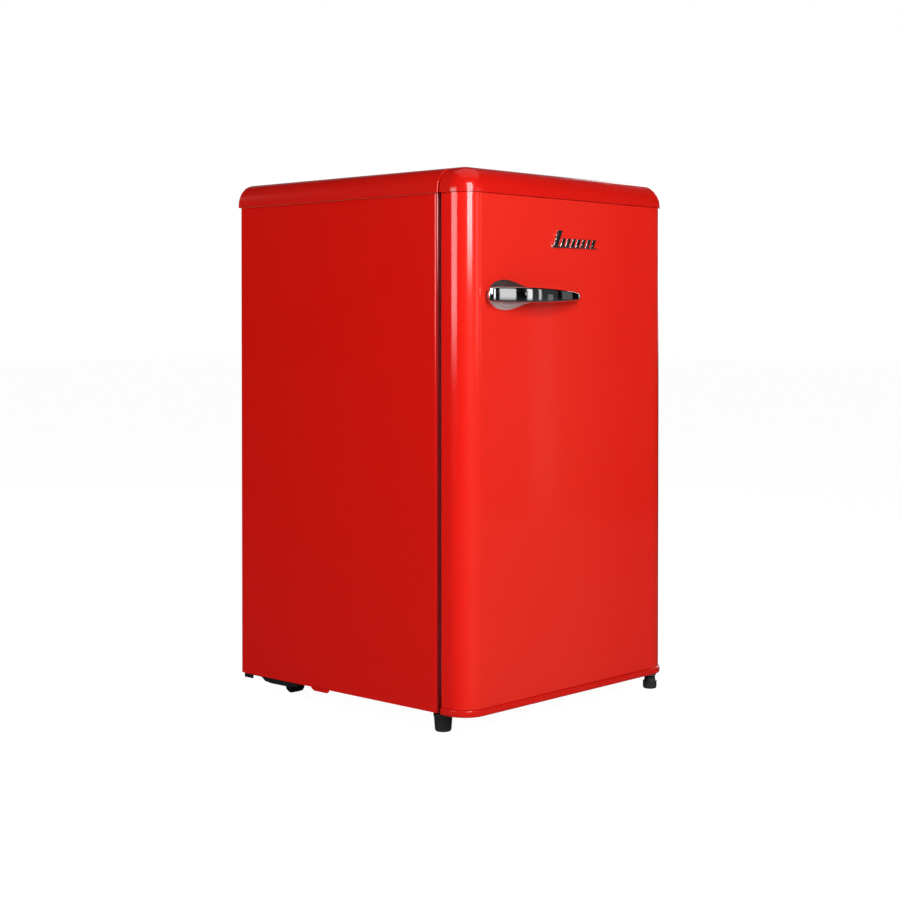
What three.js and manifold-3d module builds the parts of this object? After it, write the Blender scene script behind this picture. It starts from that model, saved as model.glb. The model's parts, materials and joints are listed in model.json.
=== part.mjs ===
// Under-counter refrigerator with a retro door: a steel cabinet on two feet and two rollers,
// a white liner with a chiller box, shelves and a crisper, and a door hinged on the right.
// Millimetres, +Z up, the door faces -Y. While modelling, z = 0 is the floor, x = 0 the middle
// and y = 0 the front plane of the cabinet; the last lines move the origin to the footprint's middle.

import * as THREE from 'three';
import { mergeVertices } from 'three/addons/utils/BufferGeometryUtils.js';
import Module from 'manifold-3d';

const wasm = await Module();
wasm.setup();

// ---------------------------------------------------------------- driving dimensions

// Cabinet shell
const HALF_WIDTH = 250;
const CABINET_DEPTH = 454;
const TOTAL_HEIGHT = 850;
const BASE_Z = 31;
const TAB_BOTTOM_Z = 25.5;
const SEAM_Z = 811;
const SHEET = 0.8;
const FIT = 0.3;
const FLANGE_INNER_X = 212.3;
const REAR_FLANGE = 12;
const PANEL_BEND = 3;
const RAIL_DEPTH = 8;
const FOAM_FRONT_Y = RAIL_DEPTH + FIT;
const FOAM_BACK_Y = 451.6;

// Plastic caps over the cabinet and the door
const CAP_OVERHANG = 2.75;
const CAP_LIP = 4;
const CAP_WALL = 3;
const CAP_RADIUS = TOTAL_HEIGHT - SEAM_Z - CAP_LIP;
const CAP_FRONT_Y = -3;
const CAP_REAR_Y = CABINET_DEPTH + CAP_OVERHANG;

// Door
const DOOR_FRONT_Y = -60;
const DOOR_BACK_Y = -9;
const DOOR_CORNER = 35;
const DOOR_CAP_BACK_Y = -7;
const DOOR_CAP_PROUD = 2.5;
const DOOR_BOTTOM_Z = 30;
const BOTTOM_CAP_TOP_Z = 41;
const PLATEAU_Y = 10;
const PLATEAU_HALF = 200;
const PLATEAU_Z = [92, 779];
const BIN_HALF = 187;
const BIN_Y = [PLATEAU_Y + FIT, 95];
const BIN_HEIGHT = 72;
const BIN_FLOORS = [['door_bin_upper', 500], ['door_bin_lower', 310]];

// Hinge axis, which is also the axis of the right foot
const HINGE_X = 237;
const HINGE_Y = -35;
const PIN_RADIUS = 4;
const BUSH_BORE = 4.3;
const BUSH_RADIUS = 7;
const ARM_RADIUS = 10.5;
const BRACKET_Z = 28.5;
const BRACKET_X = [205, 247];

// Liner and everything inside it
const CAVITY_HALF = 210.5;
const CAVITY_BACK_Y = 409;
const CAVITY_Z = [78, 785];
const HUMP_Y = 268;
const HUMP_Z = 262;
const LINER_WALL = 1.5;
const SHELF_FLOORS = { upper: 488, lower: 372 };
const GLASS = 4;
const SHELF_HALF = 206;
const SHELF_Y = [100, 402];
const LEDGE_INNER_X = 198;
const LEDGE_DEPTH = 8;
const CHILLER_HALF = 184;
const CHILLER_Y = [160, 395];
const CHILLER_Z = [645, 773];
const FLAP_AXIS_Y = 146.2;
const FLAP_AXIS_Z = 771;
const FLAP_HALF = 188;
const FLAP_BOTTOM_Z = 648;
const TRAY_Z = [606, 632];
const DRAWER_Z = [78.6, 250];
const DRAWER_Y = [101, 262];
const DRAWER_HALF = 185;
const THERMOSTAT_X = [176, CAVITY_HALF - FIT];
const THERMOSTAT_Z = [528, 596];
const KNOB_X = 193;
const KNOB_Z = 572;
const SWITCH_X = 196;
const SWITCH_Z = 760;

// Compressor bay
const BAY_FRONT_Y = 290;
const BAY_TOP_Z = 224;
const BASE_PLATE_Z = 24;
const COMPRESSOR_X = -60;
const COMPRESSOR_Y = 374;
const COMPRESSOR_Z = 40.8;
const DRYER = { x: 120, y: 436, bottom: 70, top: 172 };
const ROLLER_X = 195;
const ROLLER_Y = 380;
const ROLLER_RADIUS = 11.5;
const ROLLER_HALF = 11.5;
const AXLE_RADIUS = 3;
const BASE_PLATE = 1.5;
const GLAND = { x: 200, z: 38 };

// Condenser on the back
const COIL_Y = 466;
const COIL_TUBE = 2.5;
const COIL_HALF = 205;
const COIL_BEND = 20;
const COIL_RUNS = 12; // even, so that the last run ends on the right
const COIL_FIRST_Z = 255;
const COIL_RETURN_X = 222;

// Feet
const FOOT_LEFT_X = -228;
const FOOT_LEFT_Y = 8;
const STUD_LEFT_RADIUS = 4;
const STUD_RIGHT_RADIUS = 3;

// Handle and emblem on the door
const HANDLE_Z = 659;
const HANDLE_BASE_X = -162;
const EMBLEM_X = 1.5;
const EMBLEM_Z = 748.5;
const EMBLEM_HALF = 57;
const EMBLEM_FOOT = -14;

// ---------------------------------------------------------------- materials

function finish(color, roughness, metalness) {
  return new THREE.MeshStandardMaterial({ color, roughness, metalness });
}

const redSteel = finish(0xc8140d, 0.3, 0.1);
const redPlastic = finish(0xc4130d, 0.28, 0);
const whitePlastic = finish(0xeeeeea, 0.4, 0);
const clearPlastic = finish(0xdfe8ec, 0.15, 0);
const glass = finish(0xcfe3dd, 0.05, 0);
const greyRubber = finish(0xd8d8d4, 0.7, 0);
const blackPlastic = finish(0x222222, 0.55, 0);
const blackSteel = finish(0x1c1c1e, 0.45, 0.4);
const zincSteel = finish(0xb9b39c, 0.4, 0.9);
const aluminium = finish(0xc9cccf, 0.35, 0.9);
const chrome = finish(0xdcdcdc, 0.06, 1);
const copper = finish(0xb4683c, 0.3, 1);
const foam = finish(0xe8d79a, 0.9, 0);
const blackRubber = finish(0x171717, 0.8, 0);

// ---------------------------------------------------------------- solids and booleans

function solid(geometry) {
  const flat = geometry.index ? geometry.toNonIndexed() : geometry.clone();
  flat.deleteAttribute('normal');
  flat.deleteAttribute('uv');
  const merged = mergeVertices(flat, 1e-3);
  return new wasm.Manifold(new wasm.Mesh({
    numProp: 3,
    vertProperties: new Float32Array(merged.attributes.position.array),
    triVerts: new Uint32Array(merged.index.array),
  }));
}

function geometryOf(manifold) {
  const mesh = manifold.getMesh();
  const geometry = new THREE.BufferGeometry();
  geometry.setAttribute('position', new THREE.BufferAttribute(mesh.vertProperties, 3));
  geometry.setIndex(new THREE.BufferAttribute(mesh.triVerts, 1));
  geometry.computeVertexNormals();
  return geometry;
}

function join(first, ...others) {
  return others.reduce((sum, other) => sum.add(other), first);
}

function cut(first, ...others) {
  return others.reduce((rest, other) => rest.subtract(other), first);
}

function block([x0, x1], [y0, y1], [z0, z1]) {
  const geometry = new THREE.BoxGeometry(x1 - x0, y1 - y0, z1 - z0);
  return solid(geometry.translate((x0 + x1) / 2, (y0 + y1) / 2, (z0 + z1) / 2));
}

function polygon(points) {
  return new THREE.Shape(points.map(([u, v]) => new THREE.Vector2(u, v)));
}

function roundedRect([u0, u1], [v0, v1], radius) {
  const shape = new THREE.Shape();
  shape.absarc(u1 - radius, v1 - radius, radius, 0, Math.PI / 2);
  shape.absarc(u0 + radius, v1 - radius, radius, Math.PI / 2, Math.PI);
  shape.absarc(u0 + radius, v0 + radius, radius, Math.PI, 1.5 * Math.PI);
  shape.absarc(u1 - radius, v0 + radius, radius, 1.5 * Math.PI, 2 * Math.PI);
  return shape;
}

// A plan outline (x, y) extruded upwards.
function extrudeZ(shape, [z0, z1], curveSegments = 8) {
  const options = { depth: z1 - z0, bevelEnabled: false, curveSegments };
  return solid(new THREE.ExtrudeGeometry(shape, options).translate(0, 0, z0));
}

// A front outline (x, z) extruded towards the back.
function extrudeY(shape, [y0, y1], curveSegments = 8) {
  const options = { depth: y1 - y0, bevelEnabled: false, curveSegments };
  return solid(new THREE.ExtrudeGeometry(shape, options).rotateX(Math.PI / 2).translate(0, y1, 0));
}

// A side outline (y, z) extruded from left to right.
function extrudeX(shape, [x0, x1], curveSegments = 8) {
  const options = { depth: x1 - x0, bevelEnabled: false, curveSegments };
  const toSide = new THREE.Matrix4().set(0, 0, 1, x0, 1, 0, 0, 0, 0, 1, 0, 0, 0, 0, 0, 1);
  return solid(new THREE.ExtrudeGeometry(shape, options).applyMatrix4(toSide));
}

// A (radius, height) outline turned about the vertical; the outline runs upwards on the outside.
function turned(outline, segments = 24) {
  const points = outline.map(([radius, height]) => new THREE.Vector2(radius, height));
  return solid(new THREE.LatheGeometry(points, segments).rotateX(Math.PI / 2));
}

function moved(shape, x, y, z) {
  return solid(geometryOf(shape).translate(x, y, z));
}

function disc(x, y, radius, [z0, z1], segments = 20) {
  const outline = [[0, z0], [radius, z0], [radius, z1], [0, z1]];
  return moved(turned(outline, segments), x, y, 0);
}

function rodAlongX(radius, y, z, [x0, x1], segments = 16) {
  const rod = new THREE.CylinderGeometry(radius, radius, x1 - x0, segments).rotateZ(Math.PI / 2);
  return solid(rod.translate((x0 + x1) / 2, y, z));
}

function rodAlongY(radius, x, z, [y0, y1], segments = 16) {
  const rod = new THREE.CylinderGeometry(radius, radius, y1 - y0, segments);
  return solid(rod.translate(x, (y0 + y1) / 2, z));
}

function mirrored(shape) {
  const geometry = geometryOf(shape).scale(-1, 1, 1);
  const index = geometry.index.array;
  for (let corner = 0; corner < index.length; corner += 3) {
    const first = index[corner];
    index[corner] = index[corner + 1];
    index[corner + 1] = first;
  }
  return solid(geometry);
}

// A tube route that is stepped at its own points, so straight runs take one step each.
class Route extends THREE.Curve {
  constructor(points) {
    super();
    this.points = points;
  }

  getPoint(t) {
    const last = this.points.length - 1;
    const place = Math.min(Math.max(t, 0), 1) * last;
    const start = Math.min(Math.floor(place), last - 1);
    return this.points[start].clone().lerp(this.points[start + 1], place - start);
  }

  getPointAt(t) {
    return this.getPoint(t);
  }

  getTangentAt(t) {
    const last = this.points.length - 1;
    const here = Math.round(t * last);
    const before = this.points[Math.max(here - 1, 0)];
    const after = this.points[Math.min(here + 1, last)];
    const incoming = this.points[here].clone().sub(before).normalize();
    const outgoing = after.clone().sub(this.points[here]).normalize();
    return incoming.add(outgoing).normalize();
  }
}

function tube(points, radius, sides = 8) {
  const section = new THREE.Shape();
  for (let side = 0; side < sides; side += 1) {
    const angle = (2 * Math.PI * side) / sides;
    const corner = new THREE.Vector2(radius * Math.cos(angle), radius * Math.sin(angle));
    if (side === 0) section.moveTo(corner.x, corner.y);
    else section.lineTo(corner.x, corner.y);
  }
  const options = { steps: points.length - 1, extrudePath: new Route(points) };
  return solid(new THREE.ExtrudeGeometry(section, options));
}

// A skin over closed rings of equal point count, with a fan on each end.
function loft(rings) {
  const count = rings[0].length;
  const corners = rings.flat();
  const index = [];
  for (let ring = 0; ring < rings.length - 1; ring += 1) {
    for (let side = 0; side < count; side += 1) {
      const next = (side + 1) % count;
      const a = ring * count + side;
      const b = ring * count + next;
      index.push(a, b, b + count, a, b + count, a + count);
    }
  }
  const tail = (rings.length - 1) * count;
  for (let side = 1; side < count - 1; side += 1) {
    index.push(0, side + 1, side);
    index.push(tail, tail + side, tail + side + 1);
  }
  const geometry = new THREE.BufferGeometry().setFromPoints(corners);
  geometry.setIndex(index);
  return solid(geometry);
}

// ---------------------------------------------------------------- assembly helper

const refrigerator = new THREE.Group();
const cabinet = new THREE.Group();
const cooling = new THREE.Group();
const interior = new THREE.Group();
const door = new THREE.Group();
refrigerator.add(cabinet, cooling, interior, door);

function part(parent, name, shape, material) {
  const mesh = new THREE.Mesh(geometryOf(shape), material);
  mesh.name = name;
  parent.add(mesh);
  return mesh;
}

// ---------------------------------------------------------------- cabinet shell

// Steel side with a bent front flange that the gasket seals on, a narrow rear flange and a tab below.
function sidePanelLeft() {
  const outer = -HALF_WIDTH;
  const bend = outer + PANEL_BEND;
  const innerBend = PANEL_BEND - SHEET;
  const back = CABINET_DEPTH;
  const shape = new THREE.Shape();
  shape.moveTo(-FLANGE_INNER_X, 0);
  shape.lineTo(bend, 0);
  shape.absarc(bend, PANEL_BEND, PANEL_BEND, 1.5 * Math.PI, Math.PI, true);
  shape.absarc(bend, back - PANEL_BEND, PANEL_BEND, Math.PI, Math.PI / 2, true);
  shape.lineTo(outer + REAR_FLANGE, back);
  shape.lineTo(outer + REAR_FLANGE, back - SHEET);
  shape.absarc(bend, back - PANEL_BEND, innerBend, Math.PI / 2, Math.PI, false);
  shape.absarc(bend, PANEL_BEND, innerBend, Math.PI, 1.5 * Math.PI, false);
  shape.lineTo(-FLANGE_INNER_X, SHEET);
  const tab = polygon([
    [280, BASE_Z + 1], [280, 28.5], [273, TAB_BOTTOM_Z], [243, TAB_BOTTOM_Z], [238, 28], [238, BASE_Z + 1],
  ]);
  return join(extrudeZ(shape, [BASE_Z, SEAM_Z - FIT], 4), extrudeX(tab, [outer, outer + SHEET]));
}

// Front view of a cap: a short upright lip, then a quarter round up to the flat top.
function capProfile(inset, bottom) {
  const half = HALF_WIDTH + CAP_OVERHANG - inset;
  const radius = CAP_RADIUS - inset;
  const top = TOTAL_HEIGHT - inset;
  const shape = new THREE.Shape();
  shape.moveTo(-half, bottom);
  shape.lineTo(half, bottom);
  shape.absarc(half - radius, top - radius, radius, 0, Math.PI / 2);
  shape.absarc(radius - half, top - radius, radius, Math.PI / 2, Math.PI);
  return shape;
}

function topCap() {
  const outside = extrudeY(capProfile(0, SEAM_Z), [CAP_FRONT_Y, CAP_REAR_Y]);
  const inside = extrudeY(
    capProfile(CAP_WALL, SEAM_Z - 1),
    [CAP_FRONT_Y + CAP_WALL, CAP_REAR_Y - CAP_WALL],
  );
  const armNotch = block([HINGE_X - 9, HINGE_X + 9], [CAP_FRONT_Y - 1, 1], [SEAM_Z - 1, SEAM_Z + 5]);
  return cut(outside, inside, armNotch);
}

function backPanel() {
  const half = HALF_WIDTH - PANEL_BEND - FIT;
  const back = CABINET_DEPTH - SHEET - FIT;
  return block([-half, half], [back - SHEET, back], [BAY_TOP_Z + 2, SEAM_Z - FIT]);
}

// Galvanised sheet under the foam that steps up over the compressor bay.
function bottomPanel() {
  const z = BASE_Z + FIT;
  const half = HALF_WIDTH - SHEET - FIT;
  const section = polygon([
    [FOAM_FRONT_Y, z], [BAY_FRONT_Y, z], [BAY_FRONT_Y, BAY_TOP_Z - SHEET],
    [FOAM_BACK_Y, BAY_TOP_Z - SHEET], [FOAM_BACK_Y, BAY_TOP_Z],
    [BAY_FRONT_Y - SHEET, BAY_TOP_Z], [BAY_FRONT_Y - SHEET, z + SHEET], [FOAM_FRONT_Y, z + SHEET],
  ]);
  const studHole = disc(FOOT_LEFT_X, FOOT_LEFT_Y, STUD_LEFT_RADIUS + 2 * FIT, [z - 1, z + 2]);
  return cut(extrudeX(section, [-half, half]), studHole);
}

function frontRail([z0, z1]) {
  const half = FLANGE_INNER_X - FIT;
  const outside = block([-half, half], [0, RAIL_DEPTH], [z0, z1]);
  const inside = block([-half - 1, half + 1], [SHEET, RAIL_DEPTH + 1], [z0 + SHEET, z1 - SHEET]);
  return cut(outside, inside);
}

// Side view of the storage cavity, grown outwards by a wall thickness.
function cavitySection(grow, frontY) {
  return polygon([
    [frontY, CAVITY_Z[0] - grow], [HUMP_Y + grow, CAVITY_Z[0] - grow],
    [HUMP_Y + grow, HUMP_Z - grow], [CAVITY_BACK_Y + grow, HUMP_Z - grow],
    [CAVITY_BACK_Y + grow, CAVITY_Z[1] + grow], [frontY, CAVITY_Z[1] + grow],
  ]);
}

// White tub with ledges for the shelves, open at the front.
function innerLiner() {
  const outer = CAVITY_HALF + LINER_WALL;
  const shell = extrudeX(cavitySection(LINER_WALL, 0), [-outer, outer]);
  const hollow = extrudeX(cavitySection(0, -1), [-CAVITY_HALF, CAVITY_HALF]);
  const ledges = [SHELF_FLOORS.upper, SHELF_FLOORS.lower, HUMP_Z].flatMap((top) => {
    const back = top === HUMP_Z ? HUMP_Y + 1 : CAVITY_BACK_Y - 4;
    const left = block([-outer, -LEDGE_INNER_X], [116, back], [top - FIT - LEDGE_DEPTH, top - FIT]);
    return [left, mirrored(left)];
  });
  return join(cut(shell, hollow), ...ledges);
}

// Foam between the liner and the steel, cut free around the hinge plate and the foot stud.
function insulation() {
  const half = HALF_WIDTH - SHEET - FIT;
  const floor = BASE_Z + SHEET + 2 * FIT;
  const low = block([-half, half], [FOAM_FRONT_Y, BAY_FRONT_Y - SHEET - FIT], [floor, SEAM_Z + 1]);
  const high = block([-half, half], [BAY_FRONT_Y - 10, FOAM_BACK_Y - FIT], [BAY_TOP_Z + FIT, SEAM_Z + 1]);
  const underCap = extrudeY(capProfile(CAP_WALL + FIT, SEAM_Z), [FOAM_FRONT_Y, FOAM_BACK_Y - FIT]);
  const linerRoom = extrudeX(
    cavitySection(LINER_WALL + FIT, -1),
    [-CAVITY_HALF - LINER_WALL - FIT, CAVITY_HALF + LINER_WALL + FIT],
  );
  const hingeRoom = block([204, 260], [0, 62], [SEAM_Z - 1, SEAM_Z + 8]);
  const studRoom = disc(FOOT_LEFT_X, FOOT_LEFT_Y, 5, [floor - 1, 54]);
  return cut(join(low, high, underCap), linerRoom, hingeRoom, studRoom);
}

part(cabinet, 'side_panel_left', sidePanelLeft(), redSteel);
part(cabinet, 'side_panel_right', mirrored(sidePanelLeft()), redSteel);
part(cabinet, 'top_cap', topCap(), redPlastic);
part(cabinet, 'back_panel', backPanel(), blackSteel);
part(cabinet, 'bottom_panel', bottomPanel(), zincSteel);
part(cabinet, 'front_rail_top', frontRail([CAVITY_Z[1] + LINER_WALL + FIT, SEAM_Z - FIT]), redSteel);
part(cabinet, 'front_rail_bottom', frontRail([BASE_Z + FIT, CAVITY_Z[0] - LINER_WALL - FIT]), redSteel);
part(cabinet, 'insulation_foam', insulation(), foam);
part(cabinet, 'inner_liner', innerLiner(), whitePlastic);

// ---------------------------------------------------------------- chiller, shelves and drawer

// Aluminium chiller box with a closed back, hung from the ceiling, with two runners for the tray.
function evaporatorBox() {
  const wall = 2;
  const [z0, z1] = CHILLER_Z;
  const [y0, y1] = CHILLER_Y;
  const shell = block([-CHILLER_HALF, CHILLER_HALF], [y0, y1], [z0, z1]);
  const hollow = block(
    [-CHILLER_HALF + wall, CHILLER_HALF - wall], [y0 - 1, y1 - wall], [z0 + wall, z1 - wall],
  );
  const hangers = [-150, 130].flatMap((x) => [180, 360].map(
    (y) => block([x, x + 20], [y, y + 20], [z1 - 1, CAVITY_Z[1] - FIT]),
  ));
  const runnerSection = polygon([
    [-CHILLER_HALF, z0 + 1], [-CHILLER_HALF, TRAY_Z[0] - 2.3], [-168, TRAY_Z[0] - 2.3],
    [-168, TRAY_Z[0] - FIT], [-CHILLER_HALF + wall, TRAY_Z[0] - FIT], [-CHILLER_HALF + wall, z0 + 1],
  ]);
  const runner = extrudeY(runnerSection, [y0 + 4, y1]);
  return join(cut(shell, hollow), ...hangers, runner, mirrored(runner));
}

// Frame round the chiller's mouth, with two ears that hold the flap's pivots.
function freezerFrame() {
  const front = FLAP_AXIS_Y + 4.8;
  const back = CHILLER_Y[0] - FIT;
  const plate = block([-193, 193], [front, back], [TRAY_Z[1] + 4.5, 783]);
  const mouth = block([-172, 172], [front - 1, back + 1], [656, 758]);
  const ear = block([-193, -189], [FLAP_AXIS_Y - 5.2, front + 1], [FLAP_AXIS_Z - 8, 783]);
  const bore = rodAlongX(3.4, FLAP_AXIS_Y, FLAP_AXIS_Z, [-195, 195]);
  return cut(join(cut(plate, mouth), ear, mirrored(ear)), bore);
}

// Flap with a rolled top edge, two pivot stubs and a finger lip at the bottom.
function freezerDoor() {
  const panel = block(
    [-FLAP_HALF, FLAP_HALF], [FLAP_AXIS_Y - 4.5, FLAP_AXIS_Y + 4.5], [FLAP_BOTTOM_Z, FLAP_AXIS_Z - 1],
  );
  const roll = rodAlongX(4.5, FLAP_AXIS_Y, FLAP_AXIS_Z, [-FLAP_HALF, FLAP_HALF]);
  const pivots = rodAlongX(3, FLAP_AXIS_Y, FLAP_AXIS_Z, [-FLAP_HALF - 4, FLAP_HALF + 4], 12);
  const lip = block([-45, 45], [FLAP_AXIS_Y - 12, FLAP_AXIS_Y - 4], [FLAP_BOTTOM_Z + 3, FLAP_BOTTOM_Z + 8]);
  return join(panel, roll, pivots, lip);
}

function openTray([x0, x1], [y0, y1], [z0, z1], wall) {
  const shell = block([x0, x1], [y0, y1], [z0, z1]);
  const hollow = block([x0 + wall, x1 - wall], [y0 + wall, y1 - wall], [z0 + wall, z1 + 1]);
  return cut(shell, hollow);
}

function crisperDrawer() {
  const [y0, y1] = DRAWER_Y;
  const bin = openTray([-DRAWER_HALF, DRAWER_HALF], [y0 + 2, y1], DRAWER_Z, 2);
  const face = block([-196, 196], [y0, y0 + 4], DRAWER_Z);
  const grip = block([-60, 60], [y0 - 6, y0 + 1], [DRAWER_Z[1] - 12, DRAWER_Z[1] - 8]);
  return join(bin, face, grip);
}

function shelfGlass(z) {
  return block([-SHELF_HALF, SHELF_HALF], [SHELF_Y[0] + 4, SHELF_Y[1]], [z, z + GLASS]);
}

// Front strip that grips the glass in a groove.
function shelfTrim(z) {
  const [y0] = SHELF_Y;
  const strip = block([-SHELF_HALF, SHELF_HALF], [y0, y0 + 12], [z - 4, z + GLASS + 4]);
  const grooveY = [y0 + 4 - FIT, y0 + 13];
  const groove = block([-SHELF_HALF - 1, SHELF_HALF + 1], grooveY, [z - FIT, z + GLASS + FIT]);
  return cut(strip, groove);
}

function thermostatHousing() {
  return extrudeY(roundedRect(THERMOSTAT_X, THERMOSTAT_Z, 5), [130, 250], 3);
}

function thermostatKnob() {
  const dial = rodAlongY(13, 0, 0, [-6, 0], 24);
  const rib = block([-2.5, 2.5], [-12, -5], [-12, 12]);
  return join(dial, rib);
}

function lampLens() {
  return block([168, THERMOSTAT_X[0] - FIT], [140, 240], [534, 590]);
}

function switchHousing() {
  const body = block([191, CAVITY_HALF - FIT], [16, 52], [SWITCH_Z - 15, SWITCH_Z + 12]);
  return cut(body, rodAlongY(3.3, SWITCH_X, SWITCH_Z, [15, 40], 12));
}

part(interior, 'evaporator_box', evaporatorBox(), aluminium);
part(interior, 'freezer_frame', freezerFrame(), whitePlastic);
part(interior, 'freezer_door', freezerDoor(), clearPlastic);
part(interior, 'chill_tray', openTray([-180, 180], CHILLER_Y, TRAY_Z, 2), clearPlastic);
part(interior, 'crisper_drawer', crisperDrawer(), clearPlastic);
part(interior, 'crisper_cover_glass', shelfGlass(HUMP_Z + FIT), glass);
for (const [level, z] of Object.entries(SHELF_FLOORS)) {
  part(interior, `shelf_${level}_glass`, shelfGlass(z), glass);
  part(interior, `shelf_${level}_trim`, shelfTrim(z), whitePlastic);
}
part(interior, 'thermostat_housing', thermostatHousing(), whitePlastic);
part(interior, 'thermostat_knob', thermostatKnob(), whitePlastic).position.set(KNOB_X, 130 - FIT, KNOB_Z);
part(interior, 'lamp_lens', lampLens(), clearPlastic);
part(interior, 'switch_housing', switchHousing(), whitePlastic);
part(interior, 'light_switch_plunger', rodAlongY(3, 0, 0, [0, 28], 12), whitePlastic)
  .position.set(SWITCH_X, PLATEAU_Y + FIT, SWITCH_Z);

// ---------------------------------------------------------------- cooling system

// Black pressed plate over the bay, with a flange and a skirt under each side panel, and below it
// two brackets that carry the roller's axle.
function compressorBase() {
  const z = BASE_PLATE_Z;
  const flangeTop = BASE_Z - FIT;
  const plate = block([-213, 213], [312, 446], [z, z + BASE_PLATE]);
  const skirtSection = polygon([
    [418, flangeTop], [404, 21.5], [388, 19.8], [355, 20], [325, 22.5], [314, flangeTop],
  ]);
  const skirt = extrudeX(skirtSection, [-241, -241 + BASE_PLATE]);
  const web = block([-213, -213 + BASE_PLATE], [330, 400], [z, 29.1]);
  const roof = block([-241, -212], [330, 400], [27.6, 29.1]);
  const flange = block([-247, -239.5], [318, 449], [flangeTop - BASE_PLATE, flangeTop]);
  const rearTab = block([-247, -247 + BASE_PLATE], [428, 449], [23.5, flangeTop]);
  const bracketSection = polygon([
    [ROLLER_Y - 13, z + 1], [ROLLER_Y - 6, 5.5], [ROLLER_Y + 6, 5.5], [ROLLER_Y + 13, z + 1],
  ]);
  const bracketX = ROLLER_HALF + BASE_PLATE;
  const brackets = [-ROLLER_X - bracketX - BASE_PLATE, bracketX - ROLLER_X].map(
    (x) => extrudeX(bracketSection, [x, x + BASE_PLATE]),
  );
  const axleX = [-ROLLER_X - bracketX - 0.5, bracketX - ROLLER_X + 0.5];
  const axle = rodAlongX(AXLE_RADIUS, ROLLER_Y, ROLLER_RADIUS, axleX);
  const end = join(web, skirt, roof, flange, rearTab, ...brackets, axle);
  const glandTab = block([GLAND.x - 14, GLAND.x + 14], [446 - BASE_PLATE, 446], [z, GLAND.z + 14]);
  const glandHole = rodAlongY(8.3, GLAND.x, GLAND.z, [440, 450]);
  return cut(join(plate, end, mirrored(end), glandTab), glandHole);
}

function roller() {
  const tyre = rodAlongX(ROLLER_RADIUS, 0, 0, [-ROLLER_HALF, ROLLER_HALF], 28);
  return cut(tyre, rodAlongX(AXLE_RADIUS + 0.4, 0, 0, [-ROLLER_HALF - 1, ROLLER_HALF + 1]));
}

// Welded steel pot on a foot plate, wider across the bay than deep.
function compressorShell() {
  const outline = [
    [0, 0], [60, 0], [72, 8], [77, 24], [78, 60], [79.5, 61], [79.5, 67], [78, 68],
    [77, 100], [70, 124], [52, 137], [26, 141], [0, 142],
  ];
  const pot = geometryOf(turned(outline, 28)).scale(1.13, 0.86, 1);
  const feet = block([-108, 108], [-52, 52], [-2, 1.5]);
  return join(solid(pot), feet);
}

function grommet() {
  const outline = [[3, 0], [10, 0], [10, 4], [7.5, 6.5], [10, 9], [10, 12.5], [3, 12.5], [3, 0]];
  return turned(outline, 16);
}

function arcPoints(centre, radius, from, to, steps, place) {
  return Array.from({ length: steps + 1 }, (unused, step) => {
    const angle = from + ((to - from) * step) / steps;
    return place(centre, radius * Math.cos(angle), radius * Math.sin(angle));
  });
}

// Serpentine tube on the back: up out of the bay, across in level runs, and down the right side.
function condenserCoil() {
  const end = COIL_HALF - COIL_BEND;
  const at = (x, y, z) => new THREE.Vector3(x, y, z);
  const points = [at(DRYER.x, DRYER.y, DRYER.top + FIT), at(DRYER.x, DRYER.y, 200)];
  points.push(at(DRYER.x, COIL_Y - 4, 214), at(DRYER.x, COIL_Y, 224), at(DRYER.x, COIL_Y, 246));
  points.push(at(DRYER.x - 4, COIL_Y, 252), at(DRYER.x - 12, COIL_Y, COIL_FIRST_Z));
  const turn = (centre, u, v) => at(centre.x + u, COIL_Y, centre.z + v);
  for (let run = 0; run < COIL_RUNS - 1; run += 1) {
    const side = run % 2 === 0 ? -1 : 1;
    const centre = { x: side * end, z: COIL_FIRST_Z + (2 * run + 1) * COIL_BEND };
    const finishAngle = side < 0 ? -1.5 * Math.PI : Math.PI / 2;
    points.push(...arcPoints(centre, COIL_BEND, -Math.PI / 2, finishAngle, 6, turn));
  }
  const topZ = COIL_FIRST_Z + 2 * COIL_BEND * (COIL_RUNS - 1);
  const corner = { x: COIL_RETURN_X - 10, z: topZ - 10 };
  points.push(...arcPoints(corner, 10, Math.PI / 2, 0, 4, turn));
  points.push(at(COIL_RETURN_X, COIL_Y, 236), at(COIL_RETURN_X - 1, COIL_Y - 4, 222));
  points.push(at(COIL_RETURN_X - 8, 448, 205), at(190, 420, 150));
  points.push(at(150, 396, 122), at(110, COMPRESSOR_Y, 112), at(COMPRESSOR_X + 90, COMPRESSOR_Y, 112));
  const clips = [-150, 150].flatMap((x) => [2, 6, 10].map((run) => {
    const z = COIL_FIRST_Z + 2 * COIL_BEND * run;
    return block([x - 6, x + 6], [CABINET_DEPTH - SHEET, COIL_Y + 1], [z - 4, z + 4]);
  }));
  return join(tube(points, COIL_TUBE), ...clips);
}

function filterDryer() {
  const { bottom, top } = DRYER;
  return turned([
    [0, bottom], [2.5, bottom], [2.5, bottom + 12], [9, bottom + 24], [9, top - 24],
    [3, top - 10], [3, top], [0, top],
  ], 16);
}

function suctionTube() {
  const at = (x, y, z) => new THREE.Vector3(x, y, z);
  return tube([
    at(-20, 318, COMPRESSOR_Z + 126), at(-20, 311, COMPRESSOR_Z + 134), at(-20, 305, COMPRESSOR_Z + 146),
    at(-20, 303, 200), at(-20, 303, BAY_TOP_Z - SHEET - FIT),
  ], 4);
}

function evaporatingTray() {
  const z = COMPRESSOR_Z + 142 + FIT;
  const x = [COMPRESSOR_X - 80, COMPRESSOR_X + 80];
  return openTray(x, [COMPRESSOR_Y - 45, COMPRESSOR_Y + 60], [z, z + 22], 2);
}

function relayCover() {
  return extrudeX(roundedRect([COMPRESSOR_Y - 26, COMPRESSOR_Y + 26], [60, 130], 6), [-192, -152], 3);
}

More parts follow.
